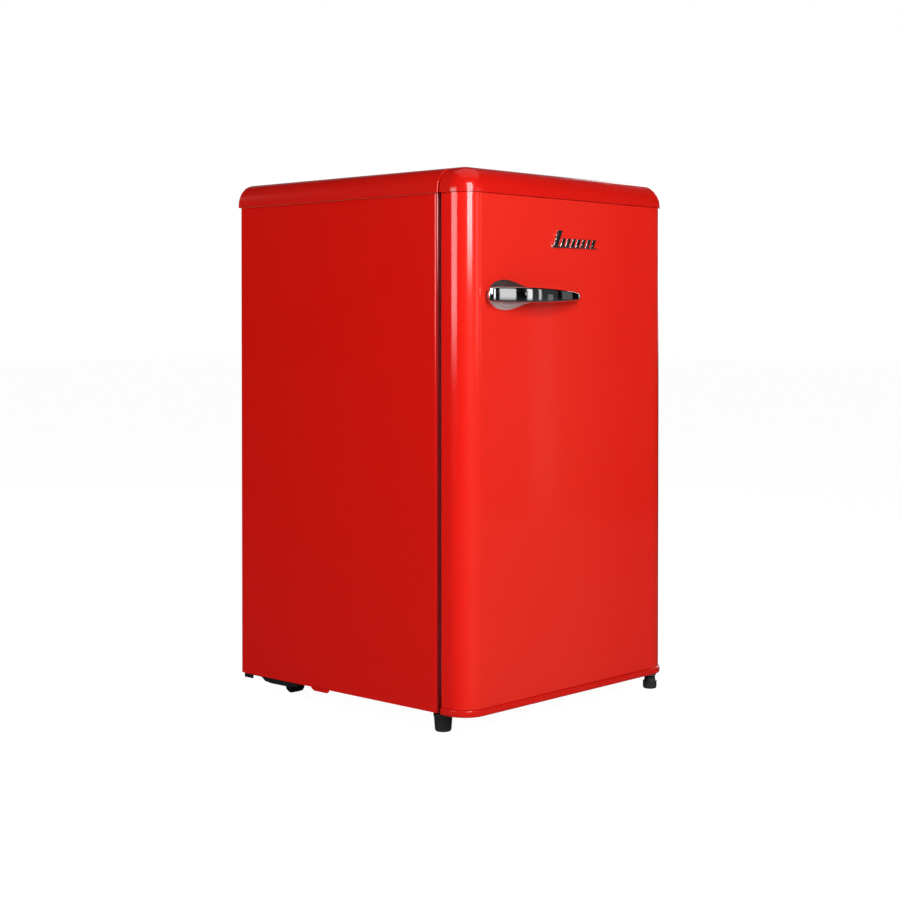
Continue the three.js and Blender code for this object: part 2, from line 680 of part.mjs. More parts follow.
function cordGland() {
  const { x, z } = GLAND;
  const bush = join(rodAlongY(8, x, z, [440.5, 450], 20), rodAlongY(12, x, z, [446.3, 450], 20));
  return cut(bush, rodAlongY(3.8, x, z, [430, 455], 12));
}

part(cooling, 'compressor_base', compressorBase(), blackSteel);
part(cooling, 'rear_roller_left', roller(), blackPlastic).position.set(-ROLLER_X, ROLLER_Y, ROLLER_RADIUS);
part(cooling, 'rear_roller_right', roller(), blackPlastic).position.set(ROLLER_X, ROLLER_Y, ROLLER_RADIUS);
part(cooling, 'compressor_shell', compressorShell(), blackSteel)
  .position.set(COMPRESSOR_X, COMPRESSOR_Y, COMPRESSOR_Z);
[[-95, -40], [95, -40], [-95, 40], [95, 40]].forEach(([dx, dy], place) => {
  part(cooling, `compressor_grommet_${place + 1}`, grommet(), blackRubber)
    .position.set(COMPRESSOR_X + dx, COMPRESSOR_Y + dy, BASE_PLATE_Z + 1.5 + FIT);
});
part(cooling, 'relay_cover', relayCover(), blackPlastic);
part(cooling, 'evaporating_tray', evaporatingTray(), blackPlastic);
part(cooling, 'condenser_coil', condenserCoil(), blackSteel);
part(cooling, 'filter_dryer', filterDryer(), copper).position.set(DRYER.x, DRYER.y, 0);
part(cooling, 'suction_tube', suctionTube(), copper);
part(cooling, 'cord_gland', cordGland(), blackRubber);

// ---------------------------------------------------------------- feet and hinges

function footBracketLeft() {
  const plate = block([-240, -BRACKET_X[0]], [-6, 60], [BRACKET_Z, BASE_Z - FIT]);
  return cut(plate, disc(FOOT_LEFT_X, FOOT_LEFT_Y, STUD_LEFT_RADIUS + 0.5, [20, 40]));
}

function footLeft() {
  const bore = STUD_LEFT_RADIUS + FIT;
  return turned([
    [0, 0], [11.6, 0], [12.6, 1], [14.1, 22.5], [15, 23.5], [15, 26.8], [bore, 26.8], [bore, 8], [0, 8],
  ], 28);
}

function footRight() {
  const bore = STUD_RIGHT_RADIUS + FIT;
  return turned([
    [0, 0], [10.2, 0], [11.8, 3], [11.8, 13], [9.2, 13.6], [9.2, 20.5], [bore, 20.5], [bore, 4], [0, 4],
  ], 28);
}

function stud(radius, z0, z1) {
  return turned([[0, z0], [radius, z0], [radius, z1], [0, z1]], 16);
}

// Plate screwed under the cabinet that steps down below the door.
function bottomHingeBracket() {
  const arm = join(
    disc(HINGE_X, HINGE_Y, ARM_RADIUS, [22, 25.5], 28),
    block([HINGE_X - ARM_RADIUS, HINGE_X + ARM_RADIUS], [HINGE_Y, 6.5], [22, 25.5]),
  );
  const step = block([HINGE_X - ARM_RADIUS, BRACKET_X[1]], [3, 6.5], [22, BASE_Z - FIT]);
  const base = block(BRACKET_X, [3, 60], [BRACKET_Z, BASE_Z - FIT]);
  return cut(join(arm, step, base), disc(HINGE_X, HINGE_Y, STUD_RIGHT_RADIUS + 0.4, [20, 30]));
}

function topHingeBracket() {
  const [z0, z1] = [SEAM_Z + 1, SEAM_Z + 4];
  const eye = disc(HINGE_X, HINGE_Y, 10, [z0, z1], 28);
  const neck = block([HINGE_X - 7, HINGE_X + 7], [HINGE_Y, 10], [z0, z1]);
  const base = block([206, 247], [9, 60], [z0, z1]);
  return cut(join(eye, neck, base), disc(HINGE_X, HINGE_Y, BUSH_BORE, [z0 - 1, z1 + 1]));
}

function topHingePin() {
  return turned([[0, 786], [PIN_RADIUS, 786], [PIN_RADIUS, 815.3], [7, 815.3], [7, 818], [0, 818]]);
}

function bottomHingePin() {
  return turned([[0, 25.8], [7, 25.8], [7, 27.3], [PIN_RADIUS, 27.3], [PIN_RADIUS, 46], [0, 46]]);
}

function bush(z0, z1, flange) {
  const tube = disc(0, 0, BUSH_RADIUS, [z0, z1]);
  return cut(join(tube, disc(0, 0, 9.5, flange)), disc(0, 0, BUSH_BORE, [z0 - 1, z1 + 1]));
}

part(cabinet, 'foot_bracket_left', footBracketLeft(), zincSteel);
part(cabinet, 'foot_left', footLeft(), blackPlastic).position.set(FOOT_LEFT_X, FOOT_LEFT_Y, 0);
part(cabinet, 'foot_left_stud', stud(STUD_LEFT_RADIUS, 8.3, 52), zincSteel)
  .position.set(FOOT_LEFT_X, FOOT_LEFT_Y, 0);
part(cabinet, 'foot_right', footRight(), blackPlastic).position.set(HINGE_X, HINGE_Y, 0);
part(cabinet, 'foot_right_stud', stud(STUD_RIGHT_RADIUS, 4.3, 25.2), zincSteel)
  .position.set(HINGE_X, HINGE_Y, 0);
part(cabinet, 'bottom_hinge_bracket', bottomHingeBracket(), zincSteel);
part(cabinet, 'bottom_hinge_pin', bottomHingePin(), zincSteel).position.set(HINGE_X, HINGE_Y, 0);
part(cabinet, 'top_hinge_bracket', topHingeBracket(), zincSteel);
part(cabinet, 'top_hinge_pin', topHingePin(), zincSteel).position.set(HINGE_X, HINGE_Y, 0);

// ---------------------------------------------------------------- door

// Plan of the door, grown outwards, with its two front edges rounded.
function doorOutline(grow, backY) {
  const half = HALF_WIDTH + grow;
  const front = DOOR_FRONT_Y - grow;
  const radius = DOOR_CORNER + grow;
  const shape = new THREE.Shape();
  shape.moveTo(-half, backY);
  shape.lineTo(-half, front + radius);
  shape.absarc(radius - half, front + radius, radius, Math.PI, 1.5 * Math.PI);
  shape.absarc(half - radius, front + radius, radius, 1.5 * Math.PI, 2 * Math.PI);
  shape.lineTo(half, backY);
  return shape;
}

// Steel wrap: front and both sides, with short returns along the back.
function doorSkin() {
  const span = [BOTTOM_CAP_TOP_Z + FIT, SEAM_Z - FIT];
  const room = [span[0] - 1, span[1] + 1];
  const inside = extrudeZ(doorOutline(-SHEET, DOOR_BACK_Y - SHEET), room, 10);
  const mouth = block([-242, 242], [DOOR_BACK_Y - 2, DOOR_BACK_Y + 1], room);
  return cut(extrudeZ(doorOutline(0, DOOR_BACK_Y), span, 10), inside, mouth);
}

// Rounded block of the door's top cap, shrunk by an inset, above a bottom height.
function doorCapBlock(inset, bottom) {
  const core = HALF_WIDTH + CAP_OVERHANG - CAP_RADIUS;
  const front = DOOR_FRONT_Y - DOOR_CAP_PROUD + CAP_RADIUS;
  const radius = CAP_RADIUS - inset;
  const height = 60;
  const plan = roundedRect([-core, core], [front, front + 150], 2.5);
  const options = {
    depth: height, bevelThickness: radius, bevelSize: radius, bevelSegments: 6, curveSegments: 6,
  };
  const round = new THREE.ExtrudeGeometry(plan, options);
  round.translate(0, 0, TOTAL_HEIGHT - CAP_RADIUS - height);
  const edge = HALF_WIDTH + CAP_OVERHANG - inset;
  const back = DOOR_CAP_BACK_Y - inset;
  const backRadius = 8 - inset;
  const clip = new THREE.Shape();
  clip.moveTo(-edge - 1, -100);
  clip.lineTo(edge, -100);
  clip.absarc(edge - backRadius, back - backRadius, backRadius, 0, Math.PI / 2);
  clip.lineTo(-edge - 1, back);
  return solid(round).intersect(extrudeZ(clip, [bottom, TOTAL_HEIGHT + 1], 4));
}

function doorTopCap() {
  const armNotch = block([219, 256], [-48.5, 0], [SEAM_Z - 2, SEAM_Z + 5.5]);
  return cut(doorCapBlock(0, SEAM_Z), doorCapBlock(CAP_WALL, SEAM_Z - 1), armNotch);
}

// Shallow tray under the door whose rounded lip stands proud of the skin.
function doorBottomCap() {
  const z0 = DOOR_BOTTOM_Z;
  const options = {
    depth: BOTTOM_CAP_TOP_Z - z0 - 2 * DOOR_CAP_PROUD,
    bevelThickness: DOOR_CAP_PROUD,
    bevelSize: DOOR_CAP_PROUD,
    bevelSegments: 3,
    curveSegments: 10,
  };
  const round = new THREE.ExtrudeGeometry(doorOutline(0, 20), options);
  const lip = solid(round.translate(0, 0, z0 + DOOR_CAP_PROUD));
  const behind = block([-300, 300], [DOOR_BACK_Y, 60], [z0 - 1, BOTTOM_CAP_TOP_Z + 1]);
  const room = extrudeZ(doorOutline(-3, DOOR_BACK_Y - 3), [z0 + 3, BOTTOM_CAP_TOP_Z + 1], 10);
  const bushHole = disc(HINGE_X, HINGE_Y, BUSH_RADIUS + FIT, [z0 - 1, z0 + 4]);
  return cut(lip, behind, room, bushHole);
}

const LINER_BACK_Y = DOOR_BACK_Y - SHEET - FIT;
const LINER_FRONT_Y = LINER_BACK_Y - LINER_WALL;

// Inner door panel: a flat rim, a raised middle that enters the cavity, and two upright dikes.
function doorLiner() {
  const rimZ = [BOTTOM_CAP_TOP_Z + 2 * FIT, SEAM_Z - 2 * FIT];
  const rim = block([-248.6, 248.6], [LINER_FRONT_Y, LINER_BACK_Y], rimZ);
  const raised = block([-PLATEAU_HALF, PLATEAU_HALF], [LINER_FRONT_Y, PLATEAU_Y], PLATEAU_Z);
  const dike = block([-PLATEAU_HALF, -PLATEAU_HALF + 12], [PLATEAU_Y - 1, 30], [280, 610]);
  return cut(join(rim, raised, dike, mirrored(dike)), plateauRoom(LINER_WALL));
}

function plateauRoom(inset) {
  const half = PLATEAU_HALF - inset;
  const z = [PLATEAU_Z[0] + inset, PLATEAU_Z[1] - inset];
  return block([-half, half], [LINER_FRONT_Y - 5, PLATEAU_Y - inset], z);
}

function doorFoam() {
  const back = LINER_FRONT_Y - FIT;
  const middle = extrudeZ(doorOutline(-SHEET - FIT, back), [BOTTOM_CAP_TOP_Z + FIT, SEAM_Z], 10);
  const low = extrudeZ(doorOutline(-3 - FIT, back - 1), [DOOR_BOTTOM_Z + 3 + FIT, BOTTOM_CAP_TOP_Z + 1], 10);
  const high = cut(doorCapBlock(CAP_WALL + FIT, SEAM_Z), block([-300, 300], [back - 1, 0], [0, 900]));
  const hingePocket = block([218, 260], [-49, 0], [SEAM_Z - 1.3, SEAM_Z + 9]);
  const bushHoles = [[25, 50], [780, 815]].map((z) => disc(HINGE_X, HINGE_Y, BUSH_RADIUS + FIT, z));
  const raised = plateauRoom(LINER_WALL + FIT);
  return cut(join(middle, low, high, raised), hingePocket, ...bushHoles);
}

// Magnetic gasket: one closed frame with a bellows-shaped section.
function doorGasket() {
  const outer = { x: 238, z: [50, 808] };
  const width = 20;
  const [y0, y1] = [LINER_BACK_Y + FIT, -FIT];
  const frame = block([-outer.x, outer.x], [y0, y1], outer.z);
  const mouthZ = [outer.z[0] + width, outer.z[1] - width];
  const mouth = block([width - outer.x, outer.x - width], [y0 - 1, y1 + 1], mouthZ);
  const waistY = [y0 + 3, y1 - 3];
  const waistOuter = cut(
    block([-outer.x - 1, outer.x + 1], waistY, [outer.z[0] - 1, outer.z[1] + 1]),
    block([4 - outer.x, outer.x - 4], [y0, y1], [outer.z[0] + 4, outer.z[1] - 4]),
  );
  return cut(frame, mouth, waistOuter);
}

function doorBin(floor) {
  const bin = openTray([-BIN_HALF, BIN_HALF], BIN_Y, [floor, floor + BIN_HEIGHT], 2);
  const backY = [BIN_Y[0] - 1, BIN_Y[0] + 3];
  const lowBack = block([-BIN_HALF + 20, BIN_HALF - 20], backY, [floor + 30, floor + 90]);
  return cut(bin, lowBack);
}

// Drop-shaped plate, widest near its left end, as an outline in x and height.
function teardrop(scale) {
  const middle = [HANDLE_BASE_X, HANDLE_Z];
  const outline = [
    [-205, 0], [-196, 14], [-180, 21.5], [-162, 23], [-140, 19.5], [-116, 12.5], [-95, 8], [-74, 5.5],
  ];
  const place = (x, rise) => new THREE.Vector2(
    middle[0] + (x - middle[0]) * scale, middle[1] + rise * scale,
  );
  const upper = outline.map(([x, rise]) => place(x, rise));
  const lower = outline.slice(1).reverse().map(([x, rise]) => place(x, -rise));
  return new THREE.Shape([...upper, ...lower]);
}

// Base of the handle: three terraces, each smaller than the one behind it.
function handleBase() {
  const y = DOOR_FRONT_Y - FIT;
  const terraces = [[1, 4], [0.88, 7], [0.74, 9.5]];
  return join(...terraces.map(([scale, height]) => extrudeY(teardrop(scale), [y - height, y])));
}

// Lever: a flat bar bowed outwards that narrows to the right and ends in a small foot on the door.
function handleLever() {
  const stations = [
    [-213, 13, 20, 3], [-209, 15.5, 22, 5], [-190, 21, 23.4, 7], [-160, 28, 23.4, 7], [-125, 33.5, 22.5, 7],
    [-90, 34.5, 20.5, 7], [-55, 31, 17.5, 7], [-25, 24.5, 14.5, 6.5], [-4, 17, 12.5, 6.5], [3, 12.5, 11, 4],
  ];
  const rings = stations.map(([x, proud, height, thick]) => {
    const front = DOOR_FRONT_Y - proud;
    const edge = Math.min(2, thick / 3);
    const half = height / 2;
    return [
      [front + edge, -half], [front + thick, -half], [front + thick, half], [front + edge, half],
      [front, half - edge], [front, edge - half],
    ].map(([y, rise]) => new THREE.Vector3(x, y, HANDLE_Z + rise));
  });
  const boss = block([-150, -130], [DOOR_FRONT_Y - 30, DOOR_FRONT_Y - 10.1], [HANDLE_Z - 6, HANDLE_Z + 6]);
  const foot = block([-20, -8], [DOOR_FRONT_Y - 17, DOOR_FRONT_Y - FIT], [HANDLE_Z - 4.5, HANDLE_Z + 4.5]);
  return join(loft(rings), boss, foot);
}

// Plain ornament: a tapering underline with a tall leaning lozenge and a row of low ones.
function emblem() {
  const back = DOOR_FRONT_Y - FIT;
  const line = polygon([
    [-EMBLEM_HALF, EMBLEM_FOOT], [EMBLEM_HALF - 4, EMBLEM_FOOT + 1], [EMBLEM_HALF, EMBLEM_FOOT + 2],
    [EMBLEM_HALF - 4, EMBLEM_FOOT + 2.8], [-EMBLEM_HALF, EMBLEM_FOOT + 3],
  ]);
  const bar = extrudeY(line, [back - 2, back]);
  const lozenge = (x, width, height) => {
    const foot = EMBLEM_FOOT + 1.5;
    const lean = 0.45 * height;
    const top = foot + height;
    const corners = [[x, foot], [x + width, foot], [x + width + lean, top], [x + lean, top]];
    return extrudeY(polygon(corners), [back - 3, back]);
  };
  const low = Array.from({ length: 7 }, (unused, place) => lozenge(-38 + 12.6 * place, 8.5, 14));
  return moved(join(bar, lozenge(-55, 12, 26), ...low), EMBLEM_X, 0, EMBLEM_Z);
}

part(door, 'door_skin', doorSkin(), redSteel);
part(door, 'door_top_cap', doorTopCap(), redPlastic);
part(door, 'door_bottom_cap', doorBottomCap(), redPlastic);
part(door, 'door_foam', doorFoam(), foam);
part(door, 'door_liner', doorLiner(), whitePlastic);
part(door, 'door_gasket', doorGasket(), greyRubber);
for (const [name, floor] of BIN_FLOORS) {
  part(door, name, doorBin(floor), clearPlastic);
}
part(door, 'hinge_bush_top', bush(786, 811.7, [810, 811.7]), whitePlastic).position.set(HINGE_X, HINGE_Y, 0);
part(door, 'hinge_bush_bottom', bush(27.6, 48, [27.6, 29.7]), whitePlastic).position.set(HINGE_X, HINGE_Y, 0);
part(door, 'handle_base', handleBase(), chrome);
part(door, 'handle_lever', handleLever(), chrome);
part(door, 'emblem', emblem(), chrome);

// ---------------------------------------------------------------- origin

const bounds = new THREE.Box3().setFromObject(refrigerator);
refrigerator.position.set(0, -(bounds.min.y + bounds.max.y) / 2, 0);

export default refrigerator;
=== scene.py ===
"""Looks of the under-counter refrigerator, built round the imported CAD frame.

The frame has +Z up, the door faces -Y and the floor is z = 0. The studio is in metres. Shapes are drawn in
millimetres and scaled as they are put in place. Places come from the boxes of the CAD nodes, and each piece
rides on the body of the node that it stands for.
"""

import json
import math

import bmesh
import bpy
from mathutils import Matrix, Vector

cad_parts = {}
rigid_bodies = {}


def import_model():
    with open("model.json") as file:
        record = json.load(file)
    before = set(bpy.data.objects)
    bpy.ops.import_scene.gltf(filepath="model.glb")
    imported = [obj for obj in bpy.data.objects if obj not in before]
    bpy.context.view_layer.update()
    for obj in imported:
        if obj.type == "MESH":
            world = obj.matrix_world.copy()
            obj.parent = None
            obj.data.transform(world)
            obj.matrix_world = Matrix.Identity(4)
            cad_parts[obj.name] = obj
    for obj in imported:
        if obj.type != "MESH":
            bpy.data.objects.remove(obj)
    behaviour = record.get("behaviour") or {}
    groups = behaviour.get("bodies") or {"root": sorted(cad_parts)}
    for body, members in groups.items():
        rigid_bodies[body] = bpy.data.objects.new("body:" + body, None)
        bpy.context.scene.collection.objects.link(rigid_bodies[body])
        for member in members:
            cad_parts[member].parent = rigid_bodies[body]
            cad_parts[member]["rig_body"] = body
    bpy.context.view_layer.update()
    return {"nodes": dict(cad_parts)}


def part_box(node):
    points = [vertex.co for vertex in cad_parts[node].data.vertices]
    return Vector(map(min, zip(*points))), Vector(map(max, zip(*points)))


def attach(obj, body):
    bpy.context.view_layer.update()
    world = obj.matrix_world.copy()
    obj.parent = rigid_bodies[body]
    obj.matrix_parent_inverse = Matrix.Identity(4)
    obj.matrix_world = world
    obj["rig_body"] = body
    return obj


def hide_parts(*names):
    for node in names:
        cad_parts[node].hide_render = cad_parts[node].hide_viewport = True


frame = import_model()

# ---------------------------------------------------------------- driving values

MM = 0.001
CABINET = "cabinet"
DOOR = "door"

SHEET = 0.8
FIT = 0.3
PANEL_BEND = 3
FRONT_BEND = 5
REAR_FLANGE = 12
DOOR_CORNER = 35
CAP_RADIUS = 35
CAP_BACK_CORNER = 8
LINER_WALL = 1.5
LINER_FILLET = 12
TRAY_WALL = 2
TUBE_RADIUS = 2.5
WIRE_RADIUS = 0.7
COIL_RUNS = 12
COIL_BEND = 20


def span(node):
    """A CAD node's box as (low, high) pairs along x, y and z, in millimetres."""
    low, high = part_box(node)
    return tuple((start / MM, end / MM) for start, end in zip(low, high))


def middle(pair):
    return (pair[0] + pair[1]) / 2


FRONT_Y = span("side_panel_left")[1][0]

# ---------------------------------------------------------------- shader nodes


class Net:
    """Shader nodes of a material, light or world, with short calls to add and join them."""

    def __init__(self, owner, empty=False):
        owner.use_nodes = True
        self.nodes, self.links = owner.node_tree.nodes, owner.node_tree.links
        if empty:
            self.nodes.clear()

    def add(self, kind, **inputs):
        """New node, with constants set on its inputs by name."""
        node = self.nodes.new("ShaderNode" + kind)
        for socket, value in inputs.items():
            node.inputs[socket.replace("_", " ")].default_value = value
        return node

    def parts(self, source):
        """A vector's outputs X, Y and Z."""
        node = self.add("SeparateXYZ")
        self.links.new(source, node.inputs[0])
        return node.outputs

    def mapped(self, source, reach, to=(0.0, 1.0), easing="SMOOTHSTEP"):
        node = self.add("MapRange", From_Min=reach[0], From_Max=reach[1], To_Min=to[0], To_Max=to[1])
        node.interpolation_type = easing
        self.links.new(source, node.inputs["Value"])
        return node.outputs[0]

    def maths(self, operation, source, other):
        """Math node on a socket and another socket or number."""
        node = self.add("Math")
        node.operation = operation
        self.links.new(source, node.inputs[0])
        if isinstance(other, float):
            node.inputs[1].default_value = other
        else:
            self.links.new(other, node.inputs[1])
        return node.outputs[0]

    def split(self, ray, others, special):
        """One shader for a kind of ray, and another for all other rays."""
        mix = self.add("MixShader")
        self.links.new(self.add("LightPath").outputs[f"Is {ray} Ray"], mix.inputs[0])
        self.links.new(others.outputs[0], mix.inputs[1])
        self.links.new(special.outputs[0], mix.inputs[2])
        return mix


# ---------------------------------------------------------------- camera, light and floor

SENSOR = 36.0
FOCAL_IN_WIDTHS = 1.8828
CAMERA_PLACE = (-2.0872, -1.9323, 0.6015)
CAMERA_YAW = 46.91
CAMERA_PITCH = -0.91
CAMERA_SHIFT = -0.1
WORLD_FILL = 0.05
WORLD_REFLECTED = 0.003
FLOOR_GLOW = 0.975
FLOOR_MATT = 0.12
FLOOR_BOUNCE = (0.75, 0.74, 0.73, 1)
FLOOR_REFLECTED = (0.012, 0.06)
FLOOR_REFLECTION_PLACE = (0.9, -1.2, 0.0)
FLOOR_REFLECTION_REACH = (1.2, 2.0)
AIM = (0.0, 0.0, 0.45)
HANDLE_AIM = (-0.08, -0.28)
CARD_REACH = 2.3
CARD_HEIGHT = 0.8
CARD_LENGTH = 0.8
HANDLE_CARDS = (
    (-81.5, 0.34, 1.4), (-70.5, 0.22, 0.7), (-60, 0.15, 0.9), (-50, 0.12, 0.55), (-19, 0.6, 0.09),
)


def make_camera():
    """Camera at the height of the door's upper half, turned to see the door and the left side."""
    data = bpy.data.cameras.new("camera")
    data.sensor_width = SENSOR
    data.lens = FOCAL_IN_WIDTHS * SENSOR
    data.shift_y = CAMERA_SHIFT
    data.clip_end = 50
    camera = bpy.data.objects.new("camera", data)
    camera.location = CAMERA_PLACE
    camera.rotation_euler = (math.radians(90 + CAMERA_PITCH), 0, math.radians(-CAMERA_YAW))
    bpy.context.scene.collection.objects.link(camera)
    bpy.context.scene.camera = camera


def make_world():
    """White studio air for the camera, soft fill for diffuse surfaces, and a dim room in reflections."""
    world = bpy.data.worlds.new("studio")
    bpy.context.scene.world = world
    net = Net(world, empty=True)
    fill = net.add("Background", Color=(1.0, 0.985, 0.97, 1), Strength=WORLD_FILL)
    room = net.add("Background", Strength=WORLD_REFLECTED)
    air = net.add("Background", Color=(1, 1, 1, 1))
    seen = net.split("Camera", net.split("Glossy", fill, room), air)
    net.links.new(seen.outputs[0], net.add("OutputWorld").inputs[0])


def make_floor():
    """Pale floor: almost white for the camera, a bounce card for diffuse light, dim in reflections.

    Reflections see a soft lighter patch on it in front of the door.
    """
    mesh = bpy.data.meshes.new("floor")
    half = 30
    corners = [(-half, -half, 0), (half, -half, 0), (half, half, 0), (-half, half, 0)]
    mesh.from_pydata(corners, [], [(0, 1, 2, 3)])
    floor = bpy.data.objects.new("floor", mesh)
    bpy.context.scene.collection.objects.link(floor)
    material = bpy.data.materials.new("floor")
    net = Net(material, empty=True)
    matt = net.add("BsdfDiffuse", Color=(FLOOR_MATT, FLOOR_MATT, FLOOR_MATT, 1))
    bounce = net.add("BsdfDiffuse", Color=FLOOR_BOUNCE)
    glow = net.add("Emission", Strength=FLOOR_GLOW)
    sheen = net.add("Emission")
    distance = net.add("VectorMath")
    distance.operation = "DISTANCE"
    distance.inputs[1].default_value = FLOOR_REFLECTION_PLACE
    net.links.new(net.add("TexCoord").outputs["Object"], distance.inputs[0])
    patch = net.mapped(distance.outputs["Value"], FLOOR_REFLECTION_REACH[::-1], FLOOR_REFLECTED)
    net.links.new(patch, sheen.inputs["Strength"])
    both = net.add("AddShader")
    net.links.new(matt.outputs[0], both.inputs[0])
    net.links.new(glow.outputs[0], both.inputs[1])
    seen = net.split("Camera", net.split("Glossy", bounce, sheen), both)
    net.links.new(seen.outputs[0], net.add("OutputMaterial").inputs[0])
    mesh.materials.append(material)


def softbox(name, place, size, radiance, fade=0.5, sides=0.0):
    """Area light aimed at the object, unseen by the camera.

    Its panel dims towards its lower edge over the share fade, and towards both sides over the share sides.
    """
    data = bpy.data.lights.new(name, "AREA")
    data.shape = "RECTANGLE"
    data.size, data.size_y = size
    data.energy = radiance * math.pi * size[0] * size[1]
    net = Net(data)
    panel = net.parts(net.add("NewGeometry").outputs["Parametric"])
    strength = net.mapped(panel["Y"], (0.0, fade))
    if sides:
        from_side = net.maths("PINGPONG", panel["X"], 0.5)
        strength = net.maths("MULTIPLY", strength, net.mapped(from_side, (0.0, sides)))
    net.links.new(strength, net.nodes["Emission"].inputs["Strength"])
    light = bpy.data.objects.new(name, data)
    light.location = place
    light.rotation_euler = (Vector(AIM) - Vector(place)).to_track_quat("-Z", "Y").to_euler()
    light.visible_camera = False
    bpy.context.scene.collection.objects.link(light)


def handle_card(name, azimuth, width, radiance):
    """Upright card that the bowed lever of the handle mirrors, at an azimuth in degrees."""
    turn = math.radians(azimuth)
    x = HANDLE_AIM[0] + CARD_REACH * math.cos(turn)
    y = HANDLE_AIM[1] + CARD_REACH * math.sin(turn)
    softbox(name, (x, y, CARD_HEIGHT), (width, CARD_LENGTH), radiance, fade=0.3, sides=0.1)


def make_lights():
    """A low box on the left, a key beside the camera, soft panels all round, and cards for the chrome."""
    softbox("left_box", (-2.24, 0.27, 0.80), (1.10, 0.75), 5.2, fade=0.42)
    softbox("key_box", (-1.05, -2.05, 1.33), (0.95, 1.38), 13.5, fade=0.2)
    softbox("front_panel", (1.85, -2.2, 1.1), (1.5, 2.2), 0.03, fade=0.15)
    softbox("door_card", (1.84, -1.85, 0.35), (0.14, 0.8), 0.16, fade=0.3, sides=0.5)
    softbox("back_wall", (2.6, 2.6, 1.5), (4.0, 3.0), 0.15, fade=0.1)
    softbox("ceiling", (0.4, -0.2, 3.2), (3.0, 3.0), 0.42, fade=0.1)
    softbox("right_box", (2.6, 0.6, 1.2), (1.4, 1.6), 3.2, fade=0.3)
    softbox("rear_box", (-0.8, 3.4, 1.6), (2.2, 1.8), 1.3)
    for number, card in enumerate(HANDLE_CARDS, 1):
        handle_card(f"handle_card_{number}", *card)


# ---------------------------------------------------------------- materials


class Surface(Net):
    """A Principled material under construction, with short calls for its procedural detail."""

    def __init__(self, name, **constants):
        self.material = bpy.data.materials.new(name)
        super().__init__(self.material)
        self.shader = self.nodes["Principled BSDF"]
        self.place = self.add("TexCoord").outputs["Object"]
        for socket, value in constants.items():
            self.shader.inputs[socket.replace("_", " ")].default_value = value

    def noise(self, scale, detail=2.0, stretch=None):
        texture = self.add("TexNoise", Scale=scale, Detail=detail)
        place = self.place
        if stretch:
            mapping = self.add("Mapping", Scale=stretch)
            self.links.new(place, mapping.inputs[0])
            place = mapping.outputs[0]
        self.links.new(place, texture.inputs["Vector"])
        return texture.outputs["Fac"]

    def cells(self, scale):
        texture = self.add("TexVoronoi", Scale=scale)
        self.links.new(self.place, texture.inputs["Vector"])
        return texture.outputs["Color"]

    def ramp(self, source, *stops):
        """Source from 0 to 1 through stops, each a place with a colour or a grey level."""
        node = self.add("ValToRGB")
        elements = node.color_ramp.elements
        elements[0].position, elements[1].position = stops[0][0], stops[-1][0]
        for place, unused in stops[1:-1]:
            elements.new(place)
        for element, (unused, value) in zip(elements, stops):
            element.color = (*value, 1) if isinstance(value, tuple) else (value, value, value, 1)
        self.links.new(source, node.inputs[0])
        return node.outputs[0]

    def graded(self, axis, reach, *stops):
        """Colour that changes along an axis between two places, with stops as for a ramp."""
        metres = [place * MM for place in reach]
        return self.ramp(self.mapped(self.parts(self.place)[axis], metres, easing="LINEAR"), *stops)

    def multiplied(self, first, second):
        """Base colour as the product of two colours."""
        node = self.add("Mix")
        node.data_type = "RGBA"
        node.blend_type = "MULTIPLY"
        node.inputs["Factor"].default_value = 1.0
        self.links.new(first, node.inputs["A"])
        self.links.new(second, node.inputs["B"])
        self.links.new(node.outputs["Result"], self.shader.inputs["Base Color"])

    def vary(self, socket, source, low, high, stops=(0.3, 0.7)):
        self.links.new(self.ramp(source, *zip(stops, (low, high))), self.shader.inputs[socket])

    def bump(self, source, depth, strength=1.0):
        """Relief with a depth in millimetres."""
        node = self.add("Bump", Distance=depth * MM, Strength=strength)
        self.links.new(source, node.inputs["Height"])
        self.links.new(node.outputs[0], self.shader.inputs["Normal"])


def mottled(name, colour, roughness, bump=None, **constants):
    """Material of up to three noises, each given as its scale, its detail and two values.

    Colour and roughness run from one value to the other. The bump's values are its depth and strength.
    """
    surface = Surface(name, **constants)
    surface.vary("Base Color", surface.noise(*colour[:2]), *colour[2:])
    surface.vary("Roughness", surface.noise(*roughness[:2]), *roughness[2:])
    if bump:
        surface.bump(surface.noise(*bump[:2]), *bump[2:])
    return surface.material


def red_enamel(name, axis, reach, *stops):
    """Enamelled sheet: a clear glossy coat with a faint orange peel over a red graded along one axis; the
    grade carries painted shade on the cabinet and painted sheen on the door.
    """
    surface = Surface(name, Specular_IOR_Level=0.1, Coat_Weight=1.0, Coat_Roughness=0.05)
    cloud = surface.ramp(surface.noise(2.2, 3), (0.3, 0.98), (0.7, 1.0))
    surface.multiplied(cloud, surface.graded(axis, reach, *stops))
    surface.vary("Roughness", surface.noise(14, 2), 0.29, 0.33)
    surface.bump(surface.noise(160, 1), 0.004, 0.25)
    return surface.material


def red_steel():
    """The cabinet's sheet, with painted shade along its front: everything within about two millimetres of the
    front, the flange inside the door gap, is darkened as if the door shaded it.
    """
    # The dark red here is painted shade for the front flange where the door's shadow falls in the gap.
    gap_shade, red = (0.26, 0.004, 0.005), (0.73, 0.0064, 0.0030)
    stops = (0.0, gap_shade), (0.45, gap_shade), (0.6, red), (1.0, red)
    return red_enamel("red_steel", "Y", (FRONT_Y, FRONT_Y + 4), *stops)


